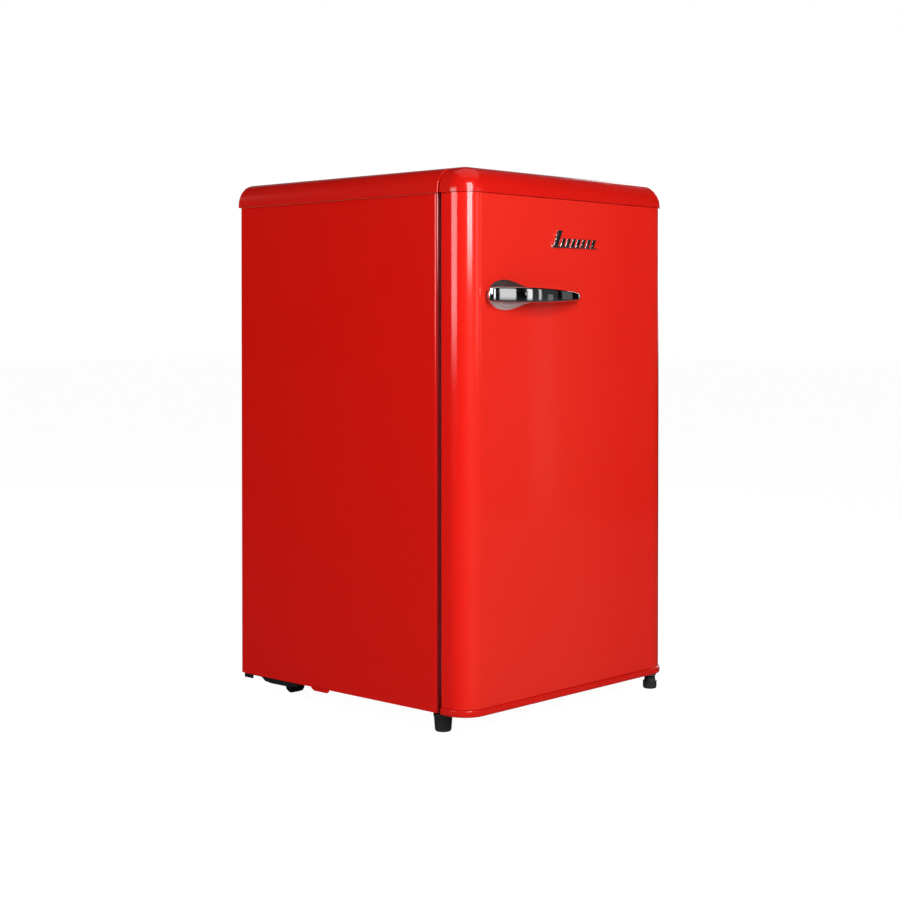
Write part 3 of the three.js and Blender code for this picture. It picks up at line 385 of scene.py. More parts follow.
def red_door():
    """The door's sheet: as deep as the cabinet at its left edge, then warmer over its face, where painted
    sheen is strongest over the left half and fainter towards the right.
    """
    # The two warmer reds are painted sheen: extra warmth that stands in for light reflected from the face.
    deep, warm_sheen, faint_sheen = (0.80, 0.0080, 0.0042), (0.80, 0.0215, 0.0112), (0.80, 0.0150, 0.0078)
    stops = (0.0, deep), (0.035, warm_sheen), (0.5, warm_sheen), (0.78, faint_sheen), (1.0, faint_sheen)
    return red_enamel("red_door", "X", span("door_skin")[0], *stops)


def red_plastic():
    """Moulded and lacquered caps, a shade deeper than the sheet."""
    colours = (0.655, 0.0078, 0.0042), (0.670, 0.0084, 0.0046)
    coat = {"Specular_IOR_Level": 0.1, "Coat_Weight": 0.8, "Coat_Roughness": 0.09}
    return mottled("red_plastic", (3, 2, *colours), (18, 2, 0.31, 0.36), (220, 2, 0.006, 0.3), **coat)


def white_plastic():
    colours = (0.80, 0.81, 0.80), (0.86, 0.865, 0.855)
    coat = {"Coat_Weight": 0.15, "Coat_Roughness": 0.25}
    return mottled("white_plastic", (5, 2, *colours), (30, 3, 0.30, 0.42), (900, 2, 0.03, 0.4), **coat)


def clear_plastic():
    colours = (0.88, 0.95, 0.98), (0.94, 0.98, 1.0)
    glass = {"Transmission_Weight": 0.55, "IOR": 1.46, "Alpha": 0.5}
    return mottled("clear_plastic", (6, 2, *colours), (24, 2, 0.05, 0.12), (60, 2, 0.05, 0.3), **glass)


def shelf_glass():
    colours = (0.80, 0.93, 0.88), (0.86, 0.96, 0.92)
    glass = {"Transmission_Weight": 0.9, "IOR": 1.52, "Alpha": 0.4}
    return mottled("shelf_glass", (4, 2, *colours), (20, 2, 0.01, 0.04), **glass)


def white_rubber():
    colours = (0.66, 0.66, 0.64), (0.74, 0.74, 0.72)
    grain = (700, 2, 0.05, 0.5)
    return mottled("white_rubber", (12, 3, *colours), (40, 2, 0.55, 0.7), grain, Sheen_Weight=0.15)


def black_plastic():
    colours = (0.020, 0.020, 0.021), (0.034, 0.034, 0.036)
    return mottled("black_plastic", (30, 3, *colours), (60, 2, 0.42, 0.6), (900, 3, 0.06, 0.6))


def black_steel():
    """Black stove-enamel on steel, with the fine texture of a powder coat."""
    colours = (0.012, 0.012, 0.014), (0.028, 0.028, 0.031)
    coat = {"Metallic": 0.25, "Coat_Weight": 0.3, "Coat_Roughness": 0.3}
    return mottled("black_steel", (9, 4, *colours), (35, 3, 0.36, 0.55), (800, 3, 0.06, 0.6), **coat)


def zinc_steel():
    """Yellow-passivated zinc with a faint spangle."""
    surface = Surface("zinc_steel", Metallic=0.9)
    surface.vary("Base Color", surface.cells(110), (0.50, 0.47, 0.38), (0.66, 0.63, 0.54), (0.1, 0.9))
    surface.vary("Roughness", surface.noise(70, 3), 0.28, 0.5)
    surface.bump(surface.noise(300, 3), 0.04, 0.4)
    return surface.material


def aluminium():
    """Rolled aluminium with a stucco emboss."""
    surface = Surface("aluminium", Metallic=1.0)
    surface.vary("Base Color", surface.noise(8, 3), (0.66, 0.67, 0.68), (0.78, 0.79, 0.80))
    surface.vary("Roughness", surface.noise(50, 2, (1, 8, 1)), 0.28, 0.44)
    surface.bump(surface.noise(260, 1), 0.25, 0.5)
    return surface.material


def chrome():
    colours = (0.86, 0.87, 0.88), (0.92, 0.93, 0.94)
    return mottled("chrome", (10, 2, *colours), (90, 3, 0.025, 0.06), Metallic=1.0)


def copper():
    colours = (0.62, 0.28, 0.15), (0.80, 0.42, 0.26)
    return mottled("copper", (70, 4, *colours), (120, 3, 0.25, 0.45), (400, 2, 0.03, 0.4), Metallic=1.0)


def foam():
    colours = (0.72, 0.60, 0.34), (0.84, 0.74, 0.50)
    return mottled("foam", (25, 4, *colours), (60, 2, 0.85, 0.98), (500, 3, 0.3, 0.8))


def black_rubber():
    colours = (0.010, 0.010, 0.010), (0.022, 0.022, 0.022)
    grain = (900, 3, 0.08, 0.6)
    return mottled("black_rubber", (40, 3, *colours), (80, 2, 0.65, 0.85), grain, Sheen_Weight=0.1)


FINISHES = (
    red_steel, red_plastic, white_plastic, clear_plastic, shelf_glass, white_rubber, black_plastic,
    black_steel, zinc_steel, aluminium, chrome, copper, foam, black_rubber,
)
MATERIALS = {finish.__name__: finish() for finish in FINISHES}


def satin_chrome():
    """Plating with a soft haze for the handle's base, with painted reflection in its colour: bright below the
    lever as if mirroring the pale floor, dark above it.
    """
    surface = Surface("satin_chrome", Metallic=0.64)
    haze = surface.ramp(surface.noise(10, 2), (0.3, 0.94), (0.7, 1.0))
    # Painted reflection: a bright tone below the lever and a dark one above it, graded up the base.
    painted_floor_reflection, painted_dark_reflection = (1.0, 1.0, 1.0), (0.11, 0.105, 0.105)
    stops = (0.0, painted_floor_reflection), (0.42, painted_floor_reflection), (0.58, painted_dark_reflection), (1.0, painted_dark_reflection)
    surface.multiplied(haze, surface.graded("Z", span("handle_base")[2], *stops))
    surface.vary("Roughness", surface.noise(90, 3), 0.06, 0.11)
    return surface.material


def badge_enamel():
    """Near-black gloss infill of the emblem, over the chrome slot."""
    colours = (0.008, 0.006, 0.007), (0.022, 0.014, 0.014)
    coat = {"Coat_Weight": 1.0, "Coat_Roughness": 0.04}
    return mottled("badge_enamel", (60, 2, *colours), (90, 2, 0.15, 0.3), **coat)


# ---------------------------------------------------------------- shape helpers

TO_SPACE = {
    "x": lambda u, v, w: (w, u, v),
    "y": lambda u, v, w: (u, w, v),
    "z": lambda u, v, w: (u, v, w),
}


def arc(centre, radius, start, end, steps=8):
    """Points along an arc, with its angles in degrees."""
    turns = rounding(start, end, steps)
    return [(centre[0] + radius * math.cos(a), centre[1] + radius * math.sin(a)) for a in turns]


def rounded_rect(u, v, radius, steps=6):
    (u0, u1), (v0, v1) = u, v
    points = arc((u1 - radius, v1 - radius), radius, 0, 90, steps)
    points += arc((u0 + radius, v1 - radius), radius, 90, 180, steps)
    points += arc((u0 + radius, v0 + radius), radius, 180, 270, steps)
    return points + arc((u1 - radius, v0 + radius), radius, 270, 360, steps)


def rounding(low, high, steps):
    """The angles of a rounded edge, in radians, from degrees."""
    return [math.radians(low + (high - low) * step / steps) for step in range(steps + 1)]


def circle(count):
    """Evenly spaced angles of a full turn."""
    return [2 * math.pi * step / count for step in range(count)]


def grown(pair, amount):
    return pair[0] - amount, pair[1] + amount


def around(centre, half):
    return centre - half, centre + half


def held(value, low=0.0, high=1.0):
    """A value kept between two limits."""
    return min(max(value, low), high)


def smooth_curve(points, per_span=8, closed=False):
    """Catmull-Rom curve through control points of any dimension."""
    count = len(points)
    spans = count if closed else count - 1

    def control(place):
        return points[place % count] if closed else points[min(max(place, 0), count - 1)]

    curve = []
    for first in range(spans):
        p0, p1, p2, p3 = (control(first + shift) for shift in (-1, 0, 1, 2))
        for step in range(per_span):
            t = step / per_span
            curve.append(tuple(
                0.5 * (2 * b + (c - a) * t + (2 * a - 5 * b + 4 * c - d) * t * t
                       + (3 * b - a - 3 * c + d) * t ** 3)
                for a, b, c, d in zip(p0, p1, p2, p3)
            ))
    return curve if closed else [*curve, tuple(points[-1])]


def loft(bm, rings, ends=(True, True), closed=True, joined=False):
    """Quads between rings of equal point count. A joined loft runs back into its first ring."""
    made = [[bm.verts.new(point) for point in ring] for ring in rings]
    pairs = list(zip(made, made[1:])) + ([(made[-1], made[0])] if joined else [])
    for lower, upper in pairs:
        for side in range(len(lower) if closed else len(lower) - 1):
            after = (side + 1) % len(lower)
            bm.faces.new((lower[side], lower[after], upper[after], upper[side]))
    if ends[0] and not joined:
        bm.faces.new(made[0][::-1])
    if ends[1] and not joined:
        bm.faces.new(made[-1])


def lifted(points, height, axis="z"):
    """Flat points in space, at one height along an axis."""
    return [TO_SPACE[axis](u, v, height) for u, v in points]


def extrude(bm, outline, reach, axis="z"):
    """A flat outline pulled along an axis."""
    loft(bm, [lifted(outline, height, axis) for height in reach])


def rounded_ends(reach, edge, steps):
    """The (inset, height) of every level of a block that is rounded over at both ends of its reach."""
    ends = ((reach[0] + edge, -90, 0), (reach[1] - edge, 0, 90))
    return [
        (edge * (1 - math.cos(angle)), height + edge * math.sin(angle))
        for height, low, high in ends for angle in rounding(low, high, steps)
    ]


def soft_block(bm, x, y, z, corner, edge, axis="z", steps=4):
    """Block with rounded corners round an axis and rounded edges at both of its ends."""
    u, v, w = {"z": (x, y, z), "y": (x, z, y), "x": (y, z, x)}[axis]
    rings = []
    for inset, height in rounded_ends(w, edge, steps):
        outline = rounded_rect(grown(u, -inset), grown(v, -inset), max(corner - inset, edge / 20))
        rings.append(lifted(outline, height, axis))
    loft(bm, rings)


def rounded_stack(levels, steps):
    """New mesh through rounded rectangles, each given by its x and z pairs, its y and its corner radius."""
    bm = bmesh.new()
    loft(bm, [lifted(rounded_rect(x, z, corner, steps), y, "y") for x, z, y, corner in levels])
    return bm


def turned(bm, profile, centre, axis="z", segments=48, ribs=0):
    """Profile of (radius, height, rib depth) turned about an axis through a point."""
    place = dict(zip("xyz", centre))
    first, second = {"z": "xy", "y": "xz", "x": "yz"}[axis]
    rings = []
    for radius, height, depth in profile:
        outline = []
        for angle in circle(segments):
            reach = radius - depth * (0.5 + 0.5 * math.cos(ribs * angle)) ** 2
            outline.append((place[first] + reach * math.cos(angle), place[second] + reach * math.sin(angle)))
        rings.append(lifted(outline, place[axis] + height, axis))
    loft(bm, rings)


def plain(*profile):
    """Profile without ribs."""
    return [(radius, height, 0) for radius, height in profile]


def tube(bm, points, radius, sides=12):
    """Round tube along a path."""
    points = [Vector(point) for point in points]
    side = (points[1] - points[0]).orthogonal().normalized()
    rings = []
    for place, point in enumerate(points):
        before, after = points[max(place - 1, 0)], points[min(place + 1, len(points) - 1)]
        heading = (after - before).normalized()
        side = (side - heading * side.dot(heading)).normalized()
        other = heading.cross(side)
        rings.append([point + radius * (math.cos(a) * side + math.sin(a) * other) for a in circle(sides)])
    loft(bm, rings)


def threaded(bm, x, y, z, radius, pitch, per_turn=5, segments=20):
    """Threaded rod standing at (x, y) from z[0] to z[1]."""
    depth = 0.55 * pitch
    count = int((z[1] - z[0]) / pitch * per_turn)
    rings = []
    for step in range(count + 1):
        height = z[0] + (z[1] - z[0]) * step / count
        fade = min(1.0, 2 * step / per_turn, 2 * (count - step) / per_turn)
        ring = []
        for angle in circle(segments):
            wave = 0.5 + 0.5 * math.cos(2 * math.pi * height / pitch - angle)
            reach = radius - depth * (wave * fade + (1 - fade))
            ring.append((x + reach * math.cos(angle), y + reach * math.sin(angle), height))
        rings.append(ring)
    loft(bm, rings)


def radial_bar(bm, start, axis, angle, reach, half, rise):
    """Square bar that points away from an axis at an angle, from a start point on the axis."""
    corners = []
    for out, aside in ((reach[0], -half), (reach[1], -half), (reach[1], half), (reach[0], half)):
        u = out * math.cos(angle) - aside * math.sin(angle)
        v = out * math.sin(angle) + aside * math.cos(angle)
        corners.append((u, v))
    loft(bm, [[Vector(start) + Vector(TO_SPACE[axis](u, v, w)) for u, v in corners] for w in (0, rise)])


def cross_reach(angle, half_width, length):
    """Distance from the middle of a cross-shaped recess to its edge."""
    folded = abs((angle + math.pi / 4) % (math.pi / 2) - math.pi / 4)
    if math.tan(folded) < half_width / length:
        return length / math.cos(folded)
    return half_width / math.sin(folded)


def screw(bm, centre, normal, radius=3.6, segments=32):
    """Domed screw head with a cross recess, facing along a unit normal."""
    normal = Vector(normal)
    side = normal.orthogonal().normalized()
    other = normal.cross(side)
    angles = circle(segments)
    cross = [cross_reach(angle, 0.16 * radius, 0.52 * radius) for angle in angles]
    levels = [
        ([radius] * segments, 0.0), ([radius] * segments, 0.18 * radius),
        ([0.86 * radius] * segments, 0.42 * radius), ([0.62 * radius] * segments, 0.55 * radius),
        (cross, 0.57 * radius), ([0.8 * reach for reach in cross], 0.16 * radius),
    ]
    loft(bm, [
        [Vector(centre) + normal * height + side * (r * math.cos(a)) + other * (r * math.sin(a))
         for r, a in zip(reaches, angles)]
        for reaches, height in levels
    ])


def cut_away(bm, *boxes):
    """The mesh with axis-aligned boxes, each (x, y, z) pairs, taken out of it."""
    body = bpy.data.objects.new("cutting_body", bpy.data.meshes.new("cutting_body"))
    bmesh.ops.recalc_face_normals(bm, faces=bm.faces)
    bm.to_mesh(body.data)
    tool_mesh = bmesh.new()
    for x, y, z in boxes:
        extrude(tool_mesh, [(x[0], y[0]), (x[1], y[0]), (x[1], y[1]), (x[0], y[1])], z)
    bmesh.ops.recalc_face_normals(tool_mesh, faces=tool_mesh.faces)
    tool = bpy.data.objects.new("cutting_tool", bpy.data.meshes.new("cutting_tool"))
    tool_mesh.to_mesh(tool.data)
    tool_mesh.free()
    for thing in (body, tool):
        bpy.context.scene.collection.objects.link(thing)
    modifier = body.modifiers.new("cut", "BOOLEAN")
    modifier.operation = "DIFFERENCE"
    modifier.object = tool
    cut = bpy.data.meshes.new_from_object(body.evaluated_get(bpy.context.evaluated_depsgraph_get()))
    bm.clear()
    bm.from_mesh(cut)
    for thing in (body, tool):
        bpy.data.objects.remove(thing)


def placed(name, bm, material):
    """Object of a mesh drawn in millimetres."""
    bmesh.ops.scale(bm, vec=(MM, MM, MM), verts=bm.verts)
    mesh = bpy.data.meshes.new(name)
    bm.to_mesh(mesh)
    bm.free()
    mesh.materials.append(material)
    mesh.shade_smooth()
    piece = bpy.data.objects.new(name, mesh)
    bpy.context.scene.collection.objects.link(piece)
    return piece


def put(name, bm, finish, body, stands_for=(), edge=0.0, segments=2, angle=32, skin=None):
    """Turns a mesh into a finished piece: rounded hard edges, smooth shading, material and body."""
    bmesh.ops.recalc_face_normals(bm, faces=bm.faces)
    piece = placed(name, bm, skin or MATERIALS[finish])
    if edge:
        bevel = piece.modifiers.new("rounded_edges", "BEVEL")
        bevel.width = edge * MM
        bevel.segments = segments
        bevel.limit_method = "ANGLE"
        bevel.angle_limit = math.radians(angle)
        piece.modifiers.new("even_shading", "WEIGHTED_NORMAL")
    else:
        piece.data.set_sharp_from_angle(angle=math.radians(angle))
    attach(piece, body)
    if stands_for:
        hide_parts(*stands_for)


def finished(node, bm, finish, **looks):
    """The finished piece that stands for one CAD node and rides on its body."""
    put(node + "_finished", bm, finish, frame["nodes"][node]["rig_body"], (node,), **looks)


def refined(node, finish, edge=0.5, segments=2):
    """Finished copy of a CAD node: welded, freed of flat edges, rounded and shaded."""
    bm = bmesh.new()
    bm.from_mesh(frame["nodes"][node].data)
    bmesh.ops.remove_doubles(bm, verts=bm.verts, dist=0.01 * MM)
    bmesh.ops.dissolve_limit(bm, angle_limit=math.radians(1), verts=bm.verts, edges=bm.edges)
    bmesh.ops.scale(bm, vec=(1 / MM, 1 / MM, 1 / MM), verts=bm.verts)
    finished(node, bm, finish, edge=edge, segments=segments)


# ---------------------------------------------------------------- cabinet shell


def side_panel(node, side):
    """Enamelled sheet with a bent front flange, a soft front fold, a short rear flange and a tab below."""
    x, y, z = span(node)
    foot = span("front_rail_bottom")[2][0] - FIT
    outer = x[0] if side < 0 else x[1]
    reach = abs(x[1] - x[0])
    fold = (FRONT_BEND, y[0] + FRONT_BEND)
    rear = (PANEL_BEND, y[1] - PANEL_BEND)
    outline = [(reach, y[0]), *arc(fold, FRONT_BEND, 270, 180, 12), *arc(rear, PANEL_BEND, 180, 90, 10)]
    outline += [(REAR_FLANGE, y[1]), (REAR_FLANGE, y[1] - SHEET), *arc(rear, PANEL_BEND - SHEET, 90, 180, 6)]
    outline += [*arc(fold, FRONT_BEND - SHEET, 180, 270, 8), (reach, y[0] + SHEET)]
    bm = bmesh.new()
    extrude(bm, [(outer - side * depth, along) for depth, along in outline], (foot, z[1]))
    tab = [(280, foot + 1), (280, foot - 2), (273, z[0]), (243, z[0]), (238, foot - 2.5)]
    tab_outline = [(FRONT_Y + along, height) for along, height in [*tab, (238, foot + 1)]]
    extrude(bm, tab_outline, sorted((outer, outer - side * SHEET)), "x")
    finished(node, bm, "red_steel", edge=0.2)


def cap_outline(inset, half, bottom, top):
    """Front view of a cap: an upright lip and a quarter round on each side."""
    radius = CAP_RADIUS - inset
    corner_z = top - CAP_RADIUS
    right = arc((half - CAP_RADIUS, corner_z), radius, 0, 90, 24)
    left = arc((CAP_RADIUS - half, corner_z), radius, 90, 180, 24)
    return [(half - inset, bottom), *right, *left, (inset - half, bottom)]


def top_cap():
    """Moulded lid over the cabinet, with its front and rear edges slightly rounded."""
    x, y, z = span("top_cap")
    round_edge = 1.6
    rings = []
    for inset, along in rounded_ends(y, round_edge, 4):
        rings.append(lifted(cap_outline(inset, x[1], z[0], z[1]), along, "y"))
    bm = bmesh.new()
    loft(bm, rings)
    arm = span("top_hinge_bracket")
    hinge_x = middle(span("top_hinge_pin")[0])
    notch_y = (y[0] - 1, y[0] + 6)
    cut_away(bm, (around(hinge_x, 9), notch_y, (z[0] - 1, arm[2][1] + 1)))
    finished("top_cap", bm, "red_plastic", edge=0.3)


def back_screws():
    """Screws that hold the back panel, along both sides."""
    x, y, z = span("back_panel")
    bm = bmesh.new()
    for side in (-1, 1):
        for step in range(6):
            height = z[0] + 25 + (z[1] - z[0] - 50) * step / 5
            screw(bm, (side * (x[1] - 14), y[1], height), (0, 1, 0))
    put("back_panel_screws", bm, "zinc_steel", CABINET, angle=40)


def inner_liner():
    """Vacuum-formed tub: filleted corners, a step over the compressor and moulded shelf rails."""
    x, y, z = span("inner_liner")
    shelf = span("crisper_cover_glass")
    step_z = shelf[2][0] - FIT
    step_y = span("crisper_drawer")[1][1] + 6
    back, low, high = y[1] - LINER_WALL, z[0] + LINER_WALL, z[1] - LINER_WALL
    outline = [(y[0], low), (step_y, low), (step_y, step_z), (back, step_z), (back, high), (y[0], high)]
    bm = bmesh.new()
    extrude(bm, outline, grown(x, -LINER_WALL), "x")
    mouth = [face for face in bm.faces if all(abs(v.co.y - y[0]) < FIT for v in face.verts)]
    bmesh.ops.delete(bm, geom=mouth, context="FACES_ONLY")
    inner_edges = [edge for edge in bm.edges if not edge.is_boundary]
    bmesh.ops.bevel(bm, geom=inner_edges, offset=LINER_FILLET, segments=6, profile=0.5, affect="EDGES")
    bmesh.ops.recalc_face_normals(bm, faces=bm.faces)
    bmesh.ops.reverse_faces(bm, faces=bm.faces)
    tub = placed("inner_liner_tub", bm, MATERIALS["white_plastic"])
    wall = tub.modifiers.new("wall", "SOLIDIFY")
    wall.thickness = LINER_WALL * MM
    wall.offset = -1
    tub.modifiers.new("even_shading", "WEIGHTED_NORMAL")
    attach(tub, CABINET)
    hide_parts("inner_liner")
    rails = bmesh.new()
    for node in ("shelf_upper_glass", "shelf_lower_glass", "crisper_cover_glass"):
        glass = span(node)
        rail_back = step_y + 1 if node == "crisper_cover_glass" else back - 4
        top = glass[2][0] - FIT
        for side in (-1, 1):
            reach = sorted((side * (x[1] - 0.5), side * (x[1] - 14)))
            rail_y = (FRONT_Y + 116, rail_back)
            soft_block(rails, reach, rail_y, (top - 8, top), 2.5, 1.2, "y")
    put("inner_liner_rails", rails, "white_plastic", CABINET)


def cabinet_shell():
    side_panel("side_panel_left", -1)
    side_panel("side_panel_right", 1)
    top_cap()
    refined("back_panel", "black_steel", 0.2)
    back_screws()
    refined("bottom_panel", "zinc_steel", 0.2)
    refined("front_rail_top", "red_steel", 0.25)
    refined("front_rail_bottom", "red_steel", 0.25)
    inner_liner()


# ---------------------------------------------------------------- door


def door_outline(grow, back):
    """Plan of the door, open along its back, with both front edges rounded."""
    x, y, unused = span("door_skin")
    front = y[0] - grow
    radius = DOOR_CORNER + grow
    half = x[1] + grow
    left = arc((radius - half, front + radius), radius, 180, 270, 28)
    right = arc((half - radius, front + radius), radius, 270, 360, 28)
    return [(-half, back), *left, *right, (half, back)]


def door_skin():
    """One enamelled sheet round the front and both sides, hemmed along the back."""
    x, y, z = span("door_skin")
    hem = 8
    outer = door_outline(0, y[1])
    inner = door_outline(-SHEET, y[1] - SHEET)
    outline = [(hem - x[1], y[1]), *outer, (x[1] - hem, y[1]), (x[1] - hem, y[1] - SHEET)]
    outline += [*inner[::-1], (hem - x[1], y[1] - SHEET)]
    bm = bmesh.new()
    extrude(bm, outline, z)
    finished("door_skin", bm, "red_steel", edge=0.2, skin=red_door())


def door_cap_ring(x, y, inset, height):
    """One level of the door's top cap: rounded at the front, clipped round at the hinge's back corner."""
    corner = 2.5 + CAP_RADIUS - inset
    right = x[1] - inset
    left = inset - x[1]
    front = y[0] + inset
    points = [(left, y[1]), *arc((left + corner, front + corner), corner, 180, 270, 16)]
    points += arc((right - corner, front + corner), corner, 270, 360, 16)
    clip = arc((x[1] - CAP_BACK_CORNER, y[1] - CAP_BACK_CORNER), CAP_BACK_CORNER, 0, 90, 6)
    points += [(min(right, u), v) for u, v in clip]
    return lifted(points, height)


def door_top_cap():
    """Moulded end of the door, rounded over on three sides, with room for the hinge arm."""
    x, y, z = span("door_top_cap")
    half_width = (-x[1] - 0.15, max(x[1], -x[0]))
    rings = [door_cap_ring(half_width, y, 0, z[0])]
    for angle in rounding(0, 90, 24):
        inset = CAP_RADIUS * (1 - math.cos(angle))
        rings.append(door_cap_ring(half_width, y, inset, z[1] - CAP_RADIUS + CAP_RADIUS * math.sin(angle)))
    bm = bmesh.new()
    loft(bm, rings)
    arm = span("top_hinge_bracket")
    pocket_front = middle(span("top_hinge_pin")[1]) - 15.5
    pocket_x = (arm[0][1] - 29, x[1] + 10)
    pocket_y = (pocket_front, y[1] + 10)
    cut_away(bm, (pocket_x, pocket_y, (z[0] - 5, arm[2][1] + 1.5)))
    finished("door_top_cap", bm, "red_plastic", edge=0.5)


def door_bottom_cap():
    """Shallow tray under the door whose rounded lip stands just proud of the sheet."""
    unused, y, z = span("door_bottom_cap")
    bull = 2.5
    rings = []
    for inset, height in rounded_ends(z, bull, 5):
        rings.append(lifted(door_outline(bull - inset, y[1]), height))
    bm = bmesh.new()
    loft(bm, rings)
    finished("door_bottom_cap", bm, "red_plastic", edge=0.4)


def door_liner():
    """Formed inner panel: flat rim, filleted plateau that enters the cabinet, and two upright dikes."""
    x, y, z = span("door_liner")
    plateau_y = span("door_bin_upper")[1][0] - FIT
    plateau_x = (-200, 200)
    plateau_z = (z[0] + 50.4, z[1] - 31.4)
    rim_face = y[0] + LINER_WALL
    fillet = 6
    levels = [(x, z, y[0], 3), (x, z, rim_face, 3)]
    for angle in rounding(0, 90, 6):
        out = fillet * (1 - math.sin(angle))
        depth = rim_face + fillet * (1 - math.cos(angle))
        levels.append((grown(plateau_x, out), grown(plateau_z, out), depth, 18 + out))
    for angle in rounding(0, 90, 6):
        inset = fillet * (1 - math.cos(angle))
        depth = plateau_y - fillet * (1 - math.sin(angle))
        levels.append((grown(plateau_x, -inset), grown(plateau_z, -inset), depth, 18 - inset))
    inner = grown(plateau_x, -28), grown(plateau_z, -28)
    levels.append((*inner, plateau_y, 10))
    levels.append((grown(inner[0], -3), grown(inner[1], -3), plateau_y - 1.2, 8))
    put("door_liner_panel", rounded_stack(levels, 8), "white_plastic", DOOR, ("door_liner",), angle=50)
    dikes = bmesh.new()
    dike_z = (span("door_bin_lower")[2][0] - 30, span("door_bin_upper")[2][0] + 110)
    for side in (-1, 1):
        reach = sorted((side * 188.4, side * 199.6))
        soft_block(dikes, reach, (plateau_y - 4, y[1]), dike_z, 4, 4, "z")
    put("door_liner_dikes", dikes, "white_plastic", DOOR)


def door_foam():
    """Foam moulding of the door: a rounded slab behind the skin and a raised, rounded middle in the liner."""
    x, y, unused = span("door_foam")
    unused, liner_y, liner_z = span("door_liner")
    slab_x, slab_z = (x[0] + 6, x[1] - 38), grown(liner_z, -6)
    back = liner_y[0] - 1
    middle_x, middle_z = (-192, 192), (liner_z[0] + 59, liner_z[1] - 40)
    levels = [
        (grown(slab_x, -20), grown(slab_z, -20), y[0] + 4, 12),
        (grown(slab_x, -6), grown(slab_z, -6), y[0] + 14, 12),
        (slab_x, slab_z, back - 4, 12),
        (grown(slab_x, -2), grown(slab_z, -2), back, 10),
        (middle_x, middle_z, back, 14),
        (middle_x, middle_z, y[1] - 5, 14),
        (grown(middle_x, -4), grown(middle_z, -4), y[1] - 1, 10),
    ]
    put("door_foam_moulding", rounded_stack(levels, 6), "foam", DOOR, ("door_foam",), angle=40)


def door_gasket():
    """Magnetic gasket: a foot pressed on the liner, a folded bellows and a flat magnet strip."""
    x, y, z = span("door_gasket")
    deep = y[1] - y[0]
    section = [
        (0.0, 0.30), (0.03, 0.24), (0.20, 0.24), (0.24, 0.34), (0.14, 0.48), (0.10, 0.60), (0.04, 0.66),
        (0.0, 0.80), (0.02, 0.97), (0.06, 1.0), (0.78, 1.0), (0.82, 0.97), (0.84, 0.72), (0.78, 0.64),
        (0.92, 0.52), (0.97, 0.42), (0.88, 0.30), (1.0, 0.20), (1.0, 0.04), (0.97, 0.0), (0.03, 0.0),
        (0.0, 0.06),
    ]
    width = 20
    rings = []
    for across, rise in smooth_curve(section, 3, closed=True):
        inset = held(across) * width
        depth = y[0] + held(rise) * deep
        outline = rounded_rect(grown(x, -inset), grown(z, -inset), 24 - inset, 8)
        rings.append(lifted(outline, depth, "y"))
    bm = bmesh.new()
    loft(bm, rings, joined=True)
    finished("door_gasket", bm, "white_rubber", angle=60)


def tray(bm, x, y, z, corner, low_back=None, lip=1.6):
    """Thin open tray with rounded corners and a rolled rim. low_back is (half width, height) of a dip."""
    floor_round = 5

    def top(u, v, rise):
        if low_back is None or v > middle(y):
            return rise
        blend = held((low_back[0] + 12 - abs(u)) / 12)
        eased = blend * blend * (3 - 2 * blend)
        return rise - (z[1] - z[0] - low_back[1]) * eased

    rings = []

    def level(inset, height, flexible=False):
        outline = []
        for u, v in tray_outline(grown(x, -inset), grown(y, -inset), max(corner - inset, 1)):
            outline.append((u, v, top(u, v, height) if flexible else height))
        rings.append(outline)

    for angle in rounding(90, 0, 5):
        level(lip + floor_round * (1 - math.cos(angle)), z[0] + floor_round * (1 - math.sin(angle)))
    level(lip, z[1] - 4, True)
    level(0, z[1] - 3.6, True)
    level(0, z[1] - 0.5, True)
    level(0.5, z[1], True)
    level(lip + TRAY_WALL - 0.4, z[1], True)
    level(lip + TRAY_WALL, z[1] - 0.5, True)
    for angle in rounding(0, 90, 5):
        inset = lip + TRAY_WALL + (floor_round - 1) * (1 - math.cos(angle))
        level(inset, z[0] + TRAY_WALL + (floor_round - 1) * (1 - math.sin(angle)))
    loft(bm, rings)


def tray_outline(x, y, corner):
    """Rounded rectangle with extra points along its back, so that the rim can dip there."""
    points = rounded_rect(x, y, corner, 6)
    run = 24
    start, end = x[0] + corner, x[1] - corner
    back = [(start + (end - start) * step / run, y[0]) for step in range(1, run)]
    return points[:21] + back + points[21:]


def door_bins():
    for node in ("door_bin_upper", "door_bin_lower"):
        x, y, z = span(node)
        bm = bmesh.new()
        tray(bm, x, y, z, 14, low_back=(150, 30))
        for step in range(9):
            centre = x[0] + (x[1] - x[0]) * (step + 1) / 10
            soft_block(bm, around(centre, 1.2), (y[1] - 2.2, y[1] - 0.4), grown(z, -10), 0.8, 0.8, "z", 2)
        finished(node, bm, "clear_plastic", angle=50)


def handle_outline(scale):
    """Drop shape, widest near its left end, as (x, z) about the handle's middle height."""
    x, unused, z = span("handle_base")
    tall = (z[1] - z[0]) / 2
    wide = x[1] - x[0]
    shape = [
        (0.0, 0.0), (0.02, 0.34), (0.08, 0.66), (0.18, 0.92), (0.32, 1.0), (0.48, 0.86), (0.66, 0.58),
        (0.84, 0.36), (0.97, 0.22), (1.0, 0.0),
    ]
    closed = shape + [(along, -rise) for along, rise in shape[-2:0:-1]]
    fat = 0.34
    points = []
    for along, rise in smooth_curve(closed, 8, closed=True):
        points.append((x[0] + wide * (fat + (held(along) - fat) * scale), middle(z) + tall * rise * scale))
    return points


